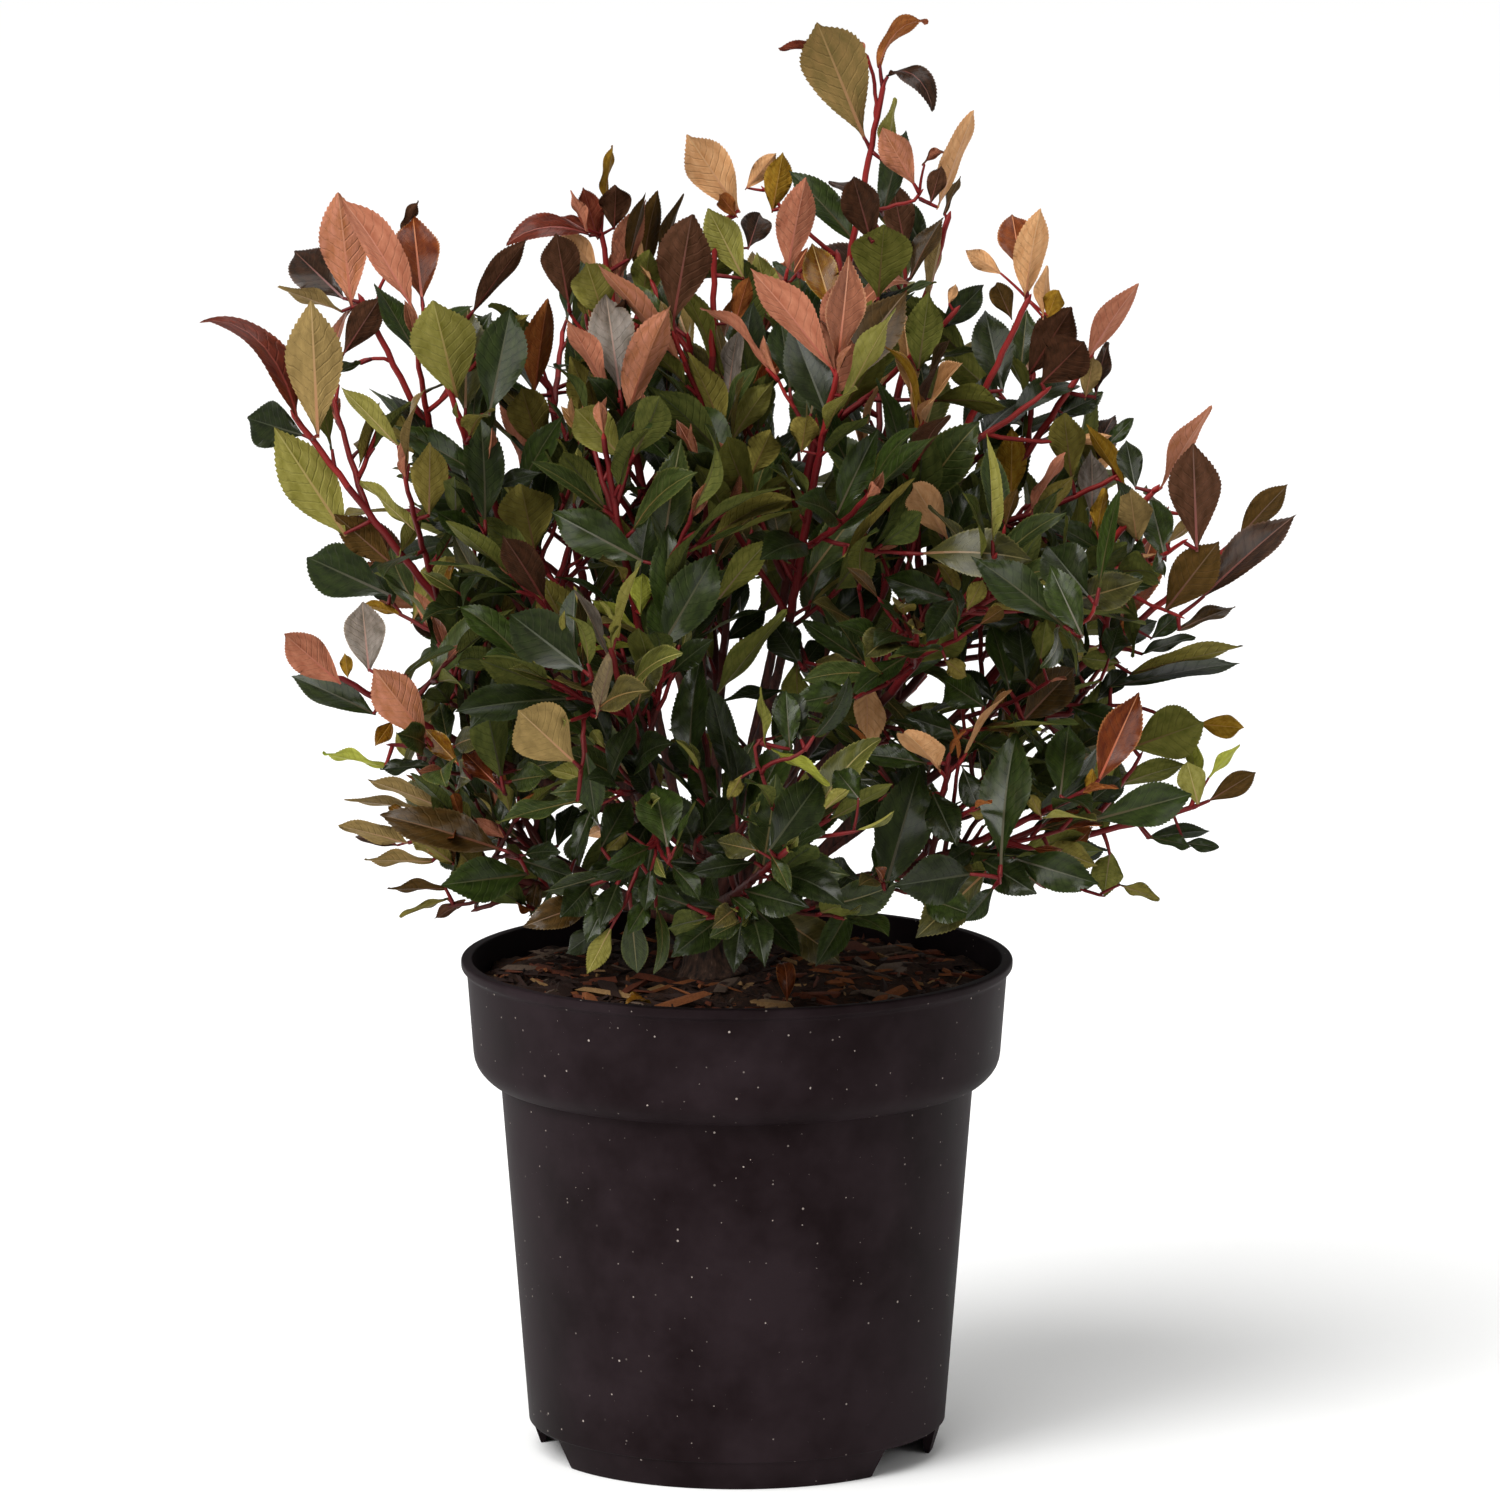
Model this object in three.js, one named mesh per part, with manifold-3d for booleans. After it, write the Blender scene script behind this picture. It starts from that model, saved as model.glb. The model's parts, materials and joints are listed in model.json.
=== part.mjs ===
// A compact evergreen photinia in a black nursery pot: a low branched shrub with serrated glossy
// leaves on red shoots, standing in bark-covered potting mix. Millimetres, +Z up. The origin is on
// the pot's axis at the level it stands on, and the photographed side faces -Y.
import * as THREE from "three";
import { mergeVertices } from "three/addons/utils/BufferGeometryUtils.js";
import Module from "manifold-3d";

const wasm = await Module();
wasm.setup();
const { Manifold, Mesh: SolidMesh } = wasm;

// Between two pieces that touch
const CLEAR = 0.3;
// Shape detail too small to keep: at the joins of leaves and twigs, and anywhere else
const JOIN_TRIFLE = 0.2;
const TRIFLE = 0.02;
const SHORTEST = 0.005;
const DEG = Math.PI / 180;

// The pot: a tapering body under a wider collar, on a foot ring cut by three drain notches
const POT = {
  height: 172,
  rimRadius: 95,
  lip: 2.2,
  wall: 1.8,
  collarTopRadius: 93,
  collarFootRadius: 90.5,
  collarHeight: 42,
  collarRound: 6,
  bodyTopRadius: 81.5,
  bodyFootRadius: 72,
  footTopRadius: 71.2,
  footRadius: 68,
  footHeight: 10,
  floor: 2.2,
  sides: 32,
};
const NOTCH = { centres: [-164, -30, 83], width: 30, slope: 3 };

// The potting mix: it stops below the rim, rises a little to the plant and carries bark chips
const MIX = { below: 9.5, rise: 2.5, rough: 1.1, chips: 5, chipLength: 19, seat: 17 };
const SOIL_TOP = POT.height - MIX.below + MIX.rise;

// The stool that all the boughs rise from, leaning a little to the left
const TRUNK = { x: -9, y: 4, flare: 13, waist: 8.2, crown: 6.2, height: 34, lean: 4, sides: 14 };

// A bough is the bare lower part of a limb, and the leafy stem is the rest of it
const BOUGH = { foot: 2.5, forkFoot: 2.1, tip: 1.45, sides: 5, steps: 4, bare: 0.38 };
const STEM = { tip: 0.75, sides: 3, steps: 5 };
const TWIG = {
  first: 0.07,
  every: 0.27,
  angle: 42,
  share: 0.5,
  least: 14,
  shorter: [1, 0.75, 0.5],
  room: 30,
  foot: 1.05,
  tip: 0.7,
  steps: 2,
};
const TURN = 137.5;

// A leaf: elliptic, widest past the middle, folded along its midrib and bent back at the tip
const LEAF = {
  length: 46,
  width: 24,
  petiole: 5,
  fold: 0.2,
  bend: 4.5,
  thick: 0.9,
  spacing: 17,
  start: 9,
  inset: 1.5,
  swings: [0, 55, -55, 110],
  angle: 52,
  tipAngle: 24,
};

// Each limb's stem tip as a bearing from +X round the pot's axis, a reach from it and a height.
// turn is the bearing of its first twig. A limb rises from the trunk, or forks from the bough of
// another limb at that share of it. young is the share of its leaves that are this year's red ones.
const LIMBS = [
  { name: "leader", bearing: 6, reach: 50, height: 472, turn: 20, young: 0.7 },
  { name: "far_left", bearing: 187, reach: 161, height: 376, turn: 150, young: 0.5 },
  { name: "high_left", bearing: 176, reach: 132, height: 406, turn: 20, young: 0.8 },
  { name: "centre", bearing: 200, reach: 8, height: 426, turn: 80, young: 0.5 },
  { name: "high_right", bearing: 352, reach: 100, height: 402, turn: 300, young: 0.8 },
  { name: "far_right", bearing: 0, reach: 166, height: 313, turn: 60, young: 0.6 },
  { name: "low_right", bearing: 354, reach: 156, height: 227, turn: 30, young: 0.2 },
  { name: "low_left", bearing: 192, reach: 108, height: 213, turn: 40, young: 0.5 },
  { name: "front_left", bearing: 250, reach: 122, height: 298, turn: 200, young: 0.2 },
  { name: "front_low", bearing: 277, reach: 136, height: 234, turn: 30, young: 0 },
  { name: "back_centre", bearing: 84, reach: 106, height: 391, turn: 10, young: 0.6 },
  { name: "back_left", bearing: 137, reach: 130, height: 320, turn: 100, young: 0.4 },
  { name: "back_right", bearing: 32, reach: 142, height: 325, turn: 40, young: 0.4 },
  { name: "front_right", bearing: 322, reach: 146, height: 245, turn: 260, young: 0.4 },
  { name: "left_middle", bearing: 195, reach: 104, height: 380, from: "high_left", at: 0.55, turn: 330, young: 0.1 },
  { name: "left_side", bearing: 197, reach: 140, height: 276, from: "far_left", at: 0.5, turn: 30, young: 0.6 },
  { name: "high_centre_left", bearing: 158, reach: 50, height: 420, from: "centre", at: 0.6, turn: 170, young: 0.9 },
  { name: "front_high_left", bearing: 238, reach: 84, height: 363, from: "front_left", at: 0.45, turn: 130, young: 0.4 },
  { name: "front_high", bearing: 294, reach: 82, height: 384, from: "leader", at: 0.5, turn: 60, young: 0.5 },
  { name: "right_upper", bearing: 9, reach: 126, height: 383, from: "high_right", at: 0.55, turn: 20, young: 0.6 },
  { name: "right_shoulder", bearing: 350, reach: 148, height: 343, from: "far_right", at: 0.5, turn: 280, young: 0.6 },
  { name: "front_right_high", bearing: 314, reach: 128, height: 330, from: "high_right", at: 0.4, turn: 340, young: 0.3 },
  { name: "back_high_left", bearing: 135, reach: 100, height: 398, from: "back_left", at: 0.5, turn: 220, young: 0.6 },
  { name: "back_high_right", bearing: 40, reach: 98, height: 427, from: "back_right", at: 0.5, turn: 120, young: 0.6 },
  { name: "back_low_left", bearing: 118, reach: 134, height: 234, from: "back_left", at: 0.32, turn: 320, young: 0.2 },
  { name: "back_low_right", bearing: 62, reach: 134, height: 246, from: "back_centre", at: 0.3, turn: 230, young: 0.2 },
  { name: "left_low_back", bearing: 163, reach: 138, height: 245, from: "low_left", at: 0.4, turn: 80, young: 0.3 },
  { name: "back_middle", bearing: 96, reach: 112, height: 313, from: "back_centre", at: 0.5, turn: 200, young: 0.4 },
];

// The crown's depth as a share of its width
const DEPTH = 0.97;

// How far the crown reaches to the photographed left and right at each height
const CROWN = [
  { height: 184, left: 122, right: 144 },
  { height: 236, left: 148, right: 176 },
  { height: 282, left: 158, right: 174 },
  { height: 314, left: 152, right: 196 },
  { height: 333, left: 158, right: 196 },
  { height: 357, left: 174, right: 160 },
  { height: 391, left: 193, right: 142 },
  { height: 426, left: 160, right: 122 },
  { height: 447, left: 90, right: 104 },
  { height: 503, left: 40, right: 90 },
];

const v3 = (x, y, z) => new THREE.Vector3(x, y, z);
const UP = v3(0, 0, 1);

// The same run of numbers from 0 to 1 each time, from a whole-number seed
function seeded(seed) {
  let state = (seed * 2654435761) % 4294967296;
  return () => {
    state = (state * 1664525 + 1013904223) % 4294967296;
    return state / 4294967296;
  };
}

function solid(geometry) {
  const bare = geometry.clone();
  bare.deleteAttribute("normal");
  bare.deleteAttribute("uv");
  const merged = mergeVertices(bare, 1e-4);
  const mesh = new SolidMesh({
    numProp: 3,
    vertProperties: new Float32Array(merged.attributes.position.array),
    triVerts: new Uint32Array(merged.index.array),
  });
  return new Manifold(mesh);
}

// The finished mesh, with edges too short to see merged away
function geometryOf(made) {
  const mesh = made.simplify(TRIFLE).getMesh();
  const geometry = new THREE.BufferGeometry();
  geometry.setAttribute("position", new THREE.BufferAttribute(mesh.vertProperties, 3));
  geometry.setIndex(new THREE.BufferAttribute(mesh.triVerts, 1));
  geometry.computeVertexNormals();
  return geometry;
}

// A profile of [radius, height] points, closed on itself or on the axis, turned about +Z
function turned(profile, sides) {
  const points = profile.map(([r, z]) => new THREE.Vector2(r, z));
  return new THREE.LatheGeometry(points, sides).rotateX(Math.PI / 2);
}

// A cylinder with a radius for each share of its length, bent along a curve
function limbGeometry(curve, radiusAt, sides, steps) {
  const geometry = new THREE.CylinderGeometry(1, 1, 1, sides, steps);
  const frames = curve.computeFrenetFrames(steps);
  const place = geometry.attributes.position;
  for (let i = 0; i < place.count; i++) {
    const step = Math.round((place.getY(i) + 0.5) * steps);
    const share = step / steps;
    const radius = radiusAt(share);
    const point = curve
      .getPointAt(share)
      .addScaledVector(frames.normals[step], place.getX(i) * radius)
      .addScaledVector(frames.binormals[step], place.getZ(i) * radius);
    place.setXYZ(i, point.x, point.y, point.z);
  }
  return geometry;
}

// The same cylinder facing out, whichever way its frames turn
function limbSolid(curve, radiusAt, sides, steps) {
  const geometry = limbGeometry(curve, radiusAt, sides, steps);
  const made = solid(geometry);
  if (made.volume() > 0) return made;
  const order = geometry.index.array;
  for (let i = 0; i < order.length; i += 3) [order[i + 1], order[i + 2]] = [order[i + 2], order[i + 1]];
  return solid(geometry);
}

// The pot's outer and inner walls as one closed profile, from the floor's middle and back to it
function potSolid() {
  const p = POT;
  const collarFoot = p.height - p.collarHeight;
  const bodyOut = [
    [0, p.footHeight],
    [p.footRadius - p.wall - 1, p.footHeight],
    [p.footRadius - p.wall - 1.5, 0],
    [p.footRadius, 0],
    [p.footTopRadius, p.footHeight - 0.5],
    [p.bodyFootRadius, p.footHeight],
    [p.bodyTopRadius, collarFoot],
  ];
  const round = [0, 45, 90].map((degrees) => [
    p.collarFootRadius - p.collarRound * (1 - Math.sin(degrees * DEG)),
    collarFoot + p.collarRound * (1 - Math.cos(degrees * DEG)),
  ]);
  const rim = [
    [p.collarTopRadius, p.height - p.lip * 1.6],
    [p.rimRadius, p.height - p.lip],
    [p.rimRadius - 0.4, p.height],
    [p.collarTopRadius - p.wall, p.height],
  ];
  const inside = [
    [p.collarFootRadius - p.wall, collarFoot + p.collarRound],
    [p.bodyTopRadius - p.wall + 1, collarFoot + p.wall],
    [p.bodyFootRadius - p.wall, p.footHeight + p.floor + 3],
    [p.bodyFootRadius - p.wall - 3, p.footHeight + p.floor],
    [0, p.footHeight + p.floor],
  ];
  let made = solid(turned([...bodyOut, ...round, ...rim, ...inside], p.sides));
  for (const centre of NOTCH.centres) made = made.subtract(notchSolid(centre));
  return made;
}

// A drain notch: a block wider at the bottom than at the top
function notchSolid(centre) {
  const half = (width) => POT.footRadius * Math.sin((width / 2) * DEG);
  const outline = new THREE.Shape();
  outline.moveTo(-half(NOTCH.width) - NOTCH.slope, -1);
  outline.lineTo(half(NOTCH.width) + NOTCH.slope, -1);
  outline.lineTo(half(NOTCH.width), POT.footHeight - 0.6);
  outline.lineTo(-half(NOTCH.width), POT.footHeight - 0.6);
  const block = new THREE.ExtrudeGeometry(outline, { depth: 40, bevelEnabled: false });
  block.rotateX(Math.PI / 2);
  block.translate(0, -POT.footRadius + 16, 0);
  block.rotateZ((centre + 90) * DEG);
  return solid(block);
}

// How high the mix stands at a place: a low mound, flat where the trunk stands, uneven elsewhere
function mixHeight(x, y) {
  const span = POT.collarTopRadius;
  const mound = MIX.rise * (1 - (x * x + y * y) / (span * span));
  const waves = Math.sin(x * 0.16 + 1.3) * Math.cos(y * 0.19 - 0.4) + 0.6 * Math.sin(x * 0.31 - y * 0.27);
  const fromTrunk = Math.hypot(x - TRUNK.x, y - TRUNK.y) / MIX.seat;
  const free = THREE.MathUtils.smoothstep(fromTrunk, 1, 2);
  const height = POT.height - MIX.below + mound + MIX.rough * waves;
  return SOIL_TOP + (height - SOIL_TOP) * free;
}

function mixSolid() {
  const p = POT;
  const inner = p.wall + CLEAR;
  const collarFoot = p.height - p.collarHeight;
  const edge = p.collarTopRadius - inner - 0.9;
  const profile = [
    [0, p.footHeight + p.floor + CLEAR],
    [p.bodyFootRadius - inner - 3.2, p.footHeight + p.floor + CLEAR],
    [p.bodyFootRadius - inner - 0.1, p.footHeight + p.floor + 3.3],
    [p.bodyTopRadius - inner + 0.9, collarFoot + p.wall + CLEAR],
    [p.collarFootRadius - inner, collarFoot + p.collarRound + CLEAR],
    [edge, p.height - MIX.below],
    ...[0.8, 0.58, 0.3, 0].map((share) => [edge * share, p.height - MIX.below]),
  ];
  const geometry = turned(profile, p.sides);
  const place = geometry.attributes.position;
  for (let i = 0; i < place.count; i++) {
    if (place.getZ(i) < p.height - MIX.below - 0.01) continue;
    const out = Math.hypot(place.getX(i), place.getY(i));
    if (out < edge - 1) place.setZ(i, mixHeight(place.getX(i), place.getY(i)));
  }
  return Manifold.union([solid(geometry), ...barkChips()]);
}

// Loose bark: flat splinters sunk half into the mix, clear of the trunk and the wall
function barkChips() {
  const random = seeded(7);
  const made = [];
  while (made.length < MIX.chips) {
    const bearing = random() * 2 * Math.PI;
    const out = 30 + random() * 42;
    const length = MIX.chipLength * (0.6 + 0.8 * random());
    const chip = new THREE.BoxGeometry(length, length * 0.32, 2.6);
    chip.rotateX((random() - 0.5) * 0.5);
    chip.rotateY((random() - 0.5) * 0.35);
    chip.rotateZ(random() * Math.PI);
    const x = out * Math.cos(bearing);
    const y = out * Math.sin(bearing);
    chip.translate(x, y, mixHeight(x, y) + 0.5);
    made.push(solid(chip));
  }
  return made;
}

// The trunk's middle line, from its flat cut on the mix to its crown
function trunkPoint(share) {
  return v3(TRUNK.x - share * TRUNK.lean, TRUNK.y, SOIL_TOP + CLEAR + share * TRUNK.height);
}

function trunkSolid(grown) {
  const t = TRUNK;
  const shares = [0, 0.08, 0.25, 0.5, 0.8, 0.95];
  const radius = (share) => t.waist + (t.flare - t.waist) * Math.exp(-share * 9) - (t.waist - t.crown) * share;
  const foot = SOIL_TOP + CLEAR;
  const profile = [
    [0, foot],
    ...shares.map((share) => [radius(share) + grown, foot + share * t.height]),
    [t.crown * 0.6 + grown, foot + t.height + grown],
    [0, foot + t.height * 1.03 + grown],
  ];
  const geometry = turned(profile, t.sides);
  const place = geometry.attributes.position;
  for (let i = 0; i < place.count; i++) {
    const share = (place.getZ(i) - foot) / t.height;
    place.setX(i, place.getX(i) + t.x - share * t.lean);
    place.setY(i, place.getY(i) + t.y);
  }
  return solid(geometry);
}

// Where a limb starts, how it leaves there and where its stem ends
function limbCurve(limb, index, curves) {
  const random = seeded(100 + index);
  const bearing = limb.bearing * DEG;
  const tip = v3(limb.reach * Math.cos(bearing), limb.reach * Math.sin(bearing), limb.height);
  const parent = curves.get(limb.from);
  const trunkShare = 0.35 + 0.5 * ((index * 0.618) % 1);
  const foot = parent ? parent.getPointAt(limb.at * BOUGH.bare) : trunkPoint(trunkShare);
  const chord = tip.clone().sub(foot);
  const side = v3(-Math.sin(bearing), Math.cos(bearing), 0);
  const bow = (random() - 0.5) * 0.1;
  const third = chord.length() / 3;
  const out = chord.clone().normalize();
  const first = foot
    .clone()
    .addScaledVector(out, third)
    .addScaledVector(side, bow * chord.length())
    .addScaledVector(v3(Math.cos(bearing), Math.sin(bearing), 0), parent ? 6 : 4);
  const second = tip
    .clone()
    .addScaledVector(out, -third)
    .addScaledVector(side, (random() - 0.5) * 0.06 * chord.length())
    .addScaledVector(UP, -0.03 * chord.length());
  return new THREE.CubicBezierCurve3(foot, first, second, tip);
}

// A stretch of a curve, from one share of its length to another
class Stretch extends THREE.Curve {
  constructor(curve, from, to) {
    super();
    Object.assign(this, { curve, from, to });
  }
  getPoint(share) {
    return this.curve.getPointAt(this.from + (this.to - this.from) * share);
  }
}

// A direction at a bearing round an axis, square to it. Bearing 0 is the side nearest to up
function around(axis, degrees) {
  const up = UP.clone().addScaledVector(axis, -UP.dot(axis)).normalize();
  const across = new THREE.Vector3().crossVectors(axis, up);
  return up.multiplyScalar(Math.cos(degrees * DEG)).addScaledVector(across, Math.sin(degrees * DEG));
}

// The twigs of one stem: they leave it in turn round it, shorter towards its tip, and bend up
function twigCurve(stem, limb, k, shorter) {
  const share = TWIG.first + k * TWIG.every;
  const foot = stem.getPointAt(share);
  const axis = stem.getTangentAt(share);
  const out = around(axis, limb.turn + k * TURN);
  const angle = TWIG.angle * DEG;
  const way = axis.multiplyScalar(Math.cos(angle)).addScaledVector(out, Math.sin(angle));
  const reach = (stem.getLength() * (1 - share) * TWIG.share + TWIG.least) * shorter;
  const middle = foot.clone().addScaledVector(way, reach * 0.5);
  const tip = middle.clone().addScaledVector(way.addScaledVector(UP, 0.3).normalize(), reach * 0.5);
  return new THREE.QuadraticBezierCurve3(foot, middle, tip);
}

function segmentsOf(curve, count, radius, owner) {
  const points = curve.getSpacedPoints(count);
  return points.slice(1).map((b, i) => ({ a: points[i], b, radius, owner }));
}

function distanceTo(segment, point) {
  const along = segment.b.clone().sub(segment.a);
  const share = point.clone().sub(segment.a).dot(along) / along.lengthSq();
  const near = segment.a.clone().addScaledVector(along, THREE.MathUtils.clamp(share, 0, 1));
  return near.distanceTo(point);
}

// A leaf's half width at a share of its blade
const halfWidth = (share) => (LEAF.width / 2) * Math.sin(Math.PI * share ** 0.88) ** 0.85;

// How far the blade lies above its straight line: it arches and its tip bends back
const bentBack = (share) => LEAF.bend * (0.35 * Math.sin(Math.PI * share) - 0.9 * share ** 3);

// A leaf along +Y with its upper side to +Z: a point in the twig and two stations of blade a side
function leafGeometry() {
  const half = LEAF.thick / 2;
  const corner = (x, share, lift) => [x, LEAF.petiole + share * LEAF.length, bentBack(share) + lift];
  const edge = (side, share) => corner(side * halfWidth(share), share, halfWidth(share) * LEAF.fold);
  const outline = [[0, 0, 0], edge(-1, 0.3), edge(-1, 0.68), corner(0, 1, 0), edge(1, 0.68), edge(1, 0.3)];
  const points = [...outline, corner(0, 0.48, half), corner(0, 0.48, -half)];
  const [top, bottom] = [6, 7];
  const faces = outline.flatMap((_, i) => {
    const next = (i + 1) % outline.length;
    return [next, i, top, i, next, bottom];
  });
  const geometry = new THREE.BufferGeometry();
  geometry.setAttribute("position", new THREE.Float32BufferAttribute(points.flat(), 3));
  geometry.setIndex(faces);
  return geometry;
}

// Where the leaves of a stem or twig sit: in turn round it, more upright towards the tip. Each one
// comes as a few ways to lie, of which the first that fits is taken
function leafPlaces(curve, start, first, seed) {
  const length = curve.getLength();
  const count = Math.max(1, Math.floor((length - start) / LEAF.spacing));
  const places = [];
  for (let k = 0; k <= count; k++) {
    const share = (start + (k * (length - start - LEAF.inset)) / count) / length;
    const late = k / count;
    const random = seeded(seed * 31 + k);
    places.push(LEAF.swings.map((swing) => {
      const axis = curve.getTangentAt(share);
      const out = around(axis, first + k * TURN + swing + (random() - 0.5) * 30);
      const angle = (LEAF.angle + (LEAF.tipAngle - LEAF.angle) * late ** 2 + (random() - 0.5) * 16) * DEG;
      const along = axis.clone().multiplyScalar(Math.cos(angle)).addScaledVector(out, Math.sin(angle));
      const roll = (random() - 0.5) * 50 * DEG;
      const size = (0.86 + 0.3 * random()) * (1 - 0.22 * late ** 3);
      const upper = axis.addScaledVector(UP, 0.35);
      upper.addScaledVector(along, -upper.dot(along)).normalize().applyAxisAngle(along, roll);
      const across = new THREE.Vector3().crossVectors(along, upper);
      const matrix = new THREE.Matrix4().makeBasis(across, along, upper);
      return matrix.scale(v3(size, size, size)).setPosition(curve.getPointAt(share));
    }));
  }
  return places;
}

// Points all over a leaf, near enough together that nothing thicker than a twig slips between
const LEAF_POINTS = [];
for (let i = 2; i <= 10; i++) {
  const share = i / 10;
  for (const side of [-1, -0.5, 0.5, 1, 0]) {
    const x = side * halfWidth(share);
    LEAF_POINTS.push(v3(x, LEAF.petiole + share * LEAF.length, bentBack(share) + Math.abs(x) * LEAF.fold));
  }
}

// Whether a point lies inside the crown's outline, which goes over from its left to its right reach
function insideCrown(point) {
  const above = CROWN.findIndex((row) => row.height > point.z);
  if (above < 1) return false;
  const [low, high] = [CROWN[above - 1], CROWN[above]];
  const share = (point.z - low.height) / (high.height - low.height);
  const out = Math.hypot(point.x, point.y / DEPTH);
  const right = (1 + point.x / out) / 2;
  const reach = (row) => row.left + (row.right - row.left) * right;
  return out < reach(low) + (reach(high) - reach(low)) * share;
}

// A leaf keeps to its mass's own space, which is nearer to that mass's twigs than to any other's,
// off the boughs, above the mix and clear of the pot's rim
function leafFits(matrix, owner, twigs, boughs) {
  const tip = LEAF_POINTS.at(-1).clone().applyMatrix4(matrix);
  const overPot = Math.hypot(tip.x, tip.y) < POT.rimRadius - 8;
  if (!overPot && !insideCrown(tip)) return false;
  return LEAF_POINTS.every((local) => {
    const point = local.clone().applyMatrix4(matrix);
    const out = Math.hypot(point.x, point.y);
    const floor = out < POT.rimRadius - 8 ? SOIL_TOP + 4 : POT.height + 6;
    if (point.z < floor) return false;
    if (boughs.some((s) => distanceTo(s, point) < s.radius + 2.6)) return false;
    let own = Infinity;
    let other = Infinity;
    for (const s of twigs) {
      const far = distanceTo(s, point) - s.radius;
      if (s.owner === owner) own = Math.min(own, far);
      else other = Math.min(other, far);
    }
    return own + 1.2 < other;
  });
}

// A twig keeps clear of all other limbs and leaves room for its end leaf inside the crown
function twigFits(curve, owner, twigs, boughs) {
  const end = curve.getPoint(1).addScaledVector(curve.getTangent(1), TWIG.room);
  if (!insideCrown(end)) return false;
  return curve.getSpacedPoints(8).every(
    (point, i) =>
      point.z > POT.height + 4 &&
      (i < 2 || boughs.every((s) => distanceTo(s, point) > s.radius + 3.5)) &&
      twigs.every((s) => s.owner === owner || distanceTo(s, point) > s.radius + 7),
  );
}

// Every limb's bough, stem and twigs as curves, in the order that they are dealt
function skeleton() {
  const curves = new Map();
  LIMBS.forEach((limb, i) => curves.set(limb.name, limbCurve(limb, i, curves)));
  const boughs = [];
  const twigs = [];
  const stems = new Map();
  for (const limb of LIMBS) {
    const curve = curves.get(limb.name);
    const gap = CLEAR / curve.getLength();
    const bough = new Stretch(curve, 0, BOUGH.bare);
    const stem = new Stretch(curve, BOUGH.bare + gap, 1);
    stems.set(limb.name, { bough, stem, twigs: [] });
    boughs.push(...segmentsOf(bough, 8, BOUGH.foot, limb.name));
    twigs.push(...segmentsOf(stem, 8, BOUGH.tip, limb.name));
  }
  for (const limb of LIMBS) {
    const own = stems.get(limb.name);
    for (let k = 0; TWIG.first + k * TWIG.every < 0.8; k++) {
      const curve = TWIG.shorter
        .map((shorter) => twigCurve(own.stem, limb, k, shorter))
        .find((one) => twigFits(one, limb.name, twigs, boughs));
      if (!curve) continue;
      own.twigs.push(curve);
      twigs.push(...segmentsOf(curve, 4, TWIG.foot, limb.name));
    }
  }
  return { stems, boughs, twigs };
}

const taper = (from, to) => (share) => from + (to - from) * share;

// What is left of a solid once the slivers that a cut leaves beyond it are dropped
function largest(made) {
  return made.decompose().reduce((kept, body) => (body.volume() > kept.volume() ? body : kept));
}

// A bough, cut clear of the trunk or bough that it springs from and of its neighbours there
function boughSolid(limb, bough, grownBy, sides) {
  const foot = limb.from ? BOUGH.forkFoot : BOUGH.foot;
  const radius = (share) => taper(foot, BOUGH.tip)(share) + grownBy;
  return limbSolid(bough, radius, sides, BOUGH.steps);
}

// How many edges are too short to keep, as where two leaves and a twig only just meet
function slivers(made) {
  const { vertProperties: at, triVerts: corners } = made.simplify(JOIN_TRIFLE).getMesh();
  return corners.filter((corner, i) => {
    const [a, b] = [3 * corner, 3 * corners[i % 3 === 2 ? i - 2 : i + 1]];
    return Math.hypot(at[a] - at[b], at[a + 1] - at[b + 1], at[a + 2] - at[b + 2]) < SHORTEST;
  }).length;
}

// One mass: a limb's leafy stem with its twigs, and every leaf that has a way to lie
function massSolid(limb, index, own, twigs, boughs) {
  const stalks = [limbSolid(own.stem, taper(BOUGH.tip, STEM.tip), STEM.sides, STEM.steps)];
  const places = leafPlaces(own.stem, LEAF.start, limb.turn + TURN, 500 + 20 * index);
  own.twigs.forEach((curve, k) => {
    stalks.push(limbSolid(curve, taper(TWIG.foot, TWIG.tip), STEM.sides, TWIG.steps));
    places.push(...leafPlaces(curve, LEAF.start + 4, limb.turn + 90 * k, 501 + 20 * index + k));
  });
  let mass = Manifold.union(stalks);
  for (const ways of places) {
    for (const way of ways) {
      if (!leafFits(way, limb.name, twigs, boughs)) continue;
      const grown = mass.add(solid(leafGeometry().applyMatrix4(way)));
      if (slivers(grown) > slivers(mass)) continue;
      mass = grown;
      break;
    }
  }
  return mass.simplify(JOIN_TRIFLE);
}

const LOOKS = {
  pot: { color: "#1d1a1b", roughness: 0.55 },
  mix: { color: "#4a2d1c", roughness: 0.95 },
  trunk: { color: "#4b352b", roughness: 0.8 },
  bough: { color: "#5c2f2a", roughness: 0.7 },
  green: { color: "#33452a", roughness: 0.4 },
  bronze: { color: "#8a5440", roughness: 0.4 },
};

const plant = new THREE.Group();

function add(name, made, look) {
  const material = new THREE.MeshStandardMaterial({ metalness: 0, ...LOOKS[look] });
  const mesh = new THREE.Mesh(geometryOf(made), material);
  mesh.name = name;
  plant.add(mesh);
}

add("pot", potSolid(), "pot");
add("potting_mix", mixSolid(), "mix");
add("trunk", trunkSolid(0), "trunk");

const { stems, boughs, twigs } = skeleton();
const grown = [trunkSolid(CLEAR)];
LIMBS.forEach((limb, index) => {
  const own = stems.get(limb.name);
  let bough = boughSolid(limb, own.bough, 0, BOUGH.sides);
  for (const near of grown) bough = bough.subtract(near);
  bough = largest(bough);
  grown.push(boughSolid(limb, own.bough, CLEAR, BOUGH.sides));
  add(`bough_${limb.name}`, bough, "bough");
  const mass = massSolid(limb, index, own, twigs, boughs);
  add(`foliage_${limb.name}`, mass, limb.young > 0.5 ? "bronze" : "green");
});

export default plant;
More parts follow.
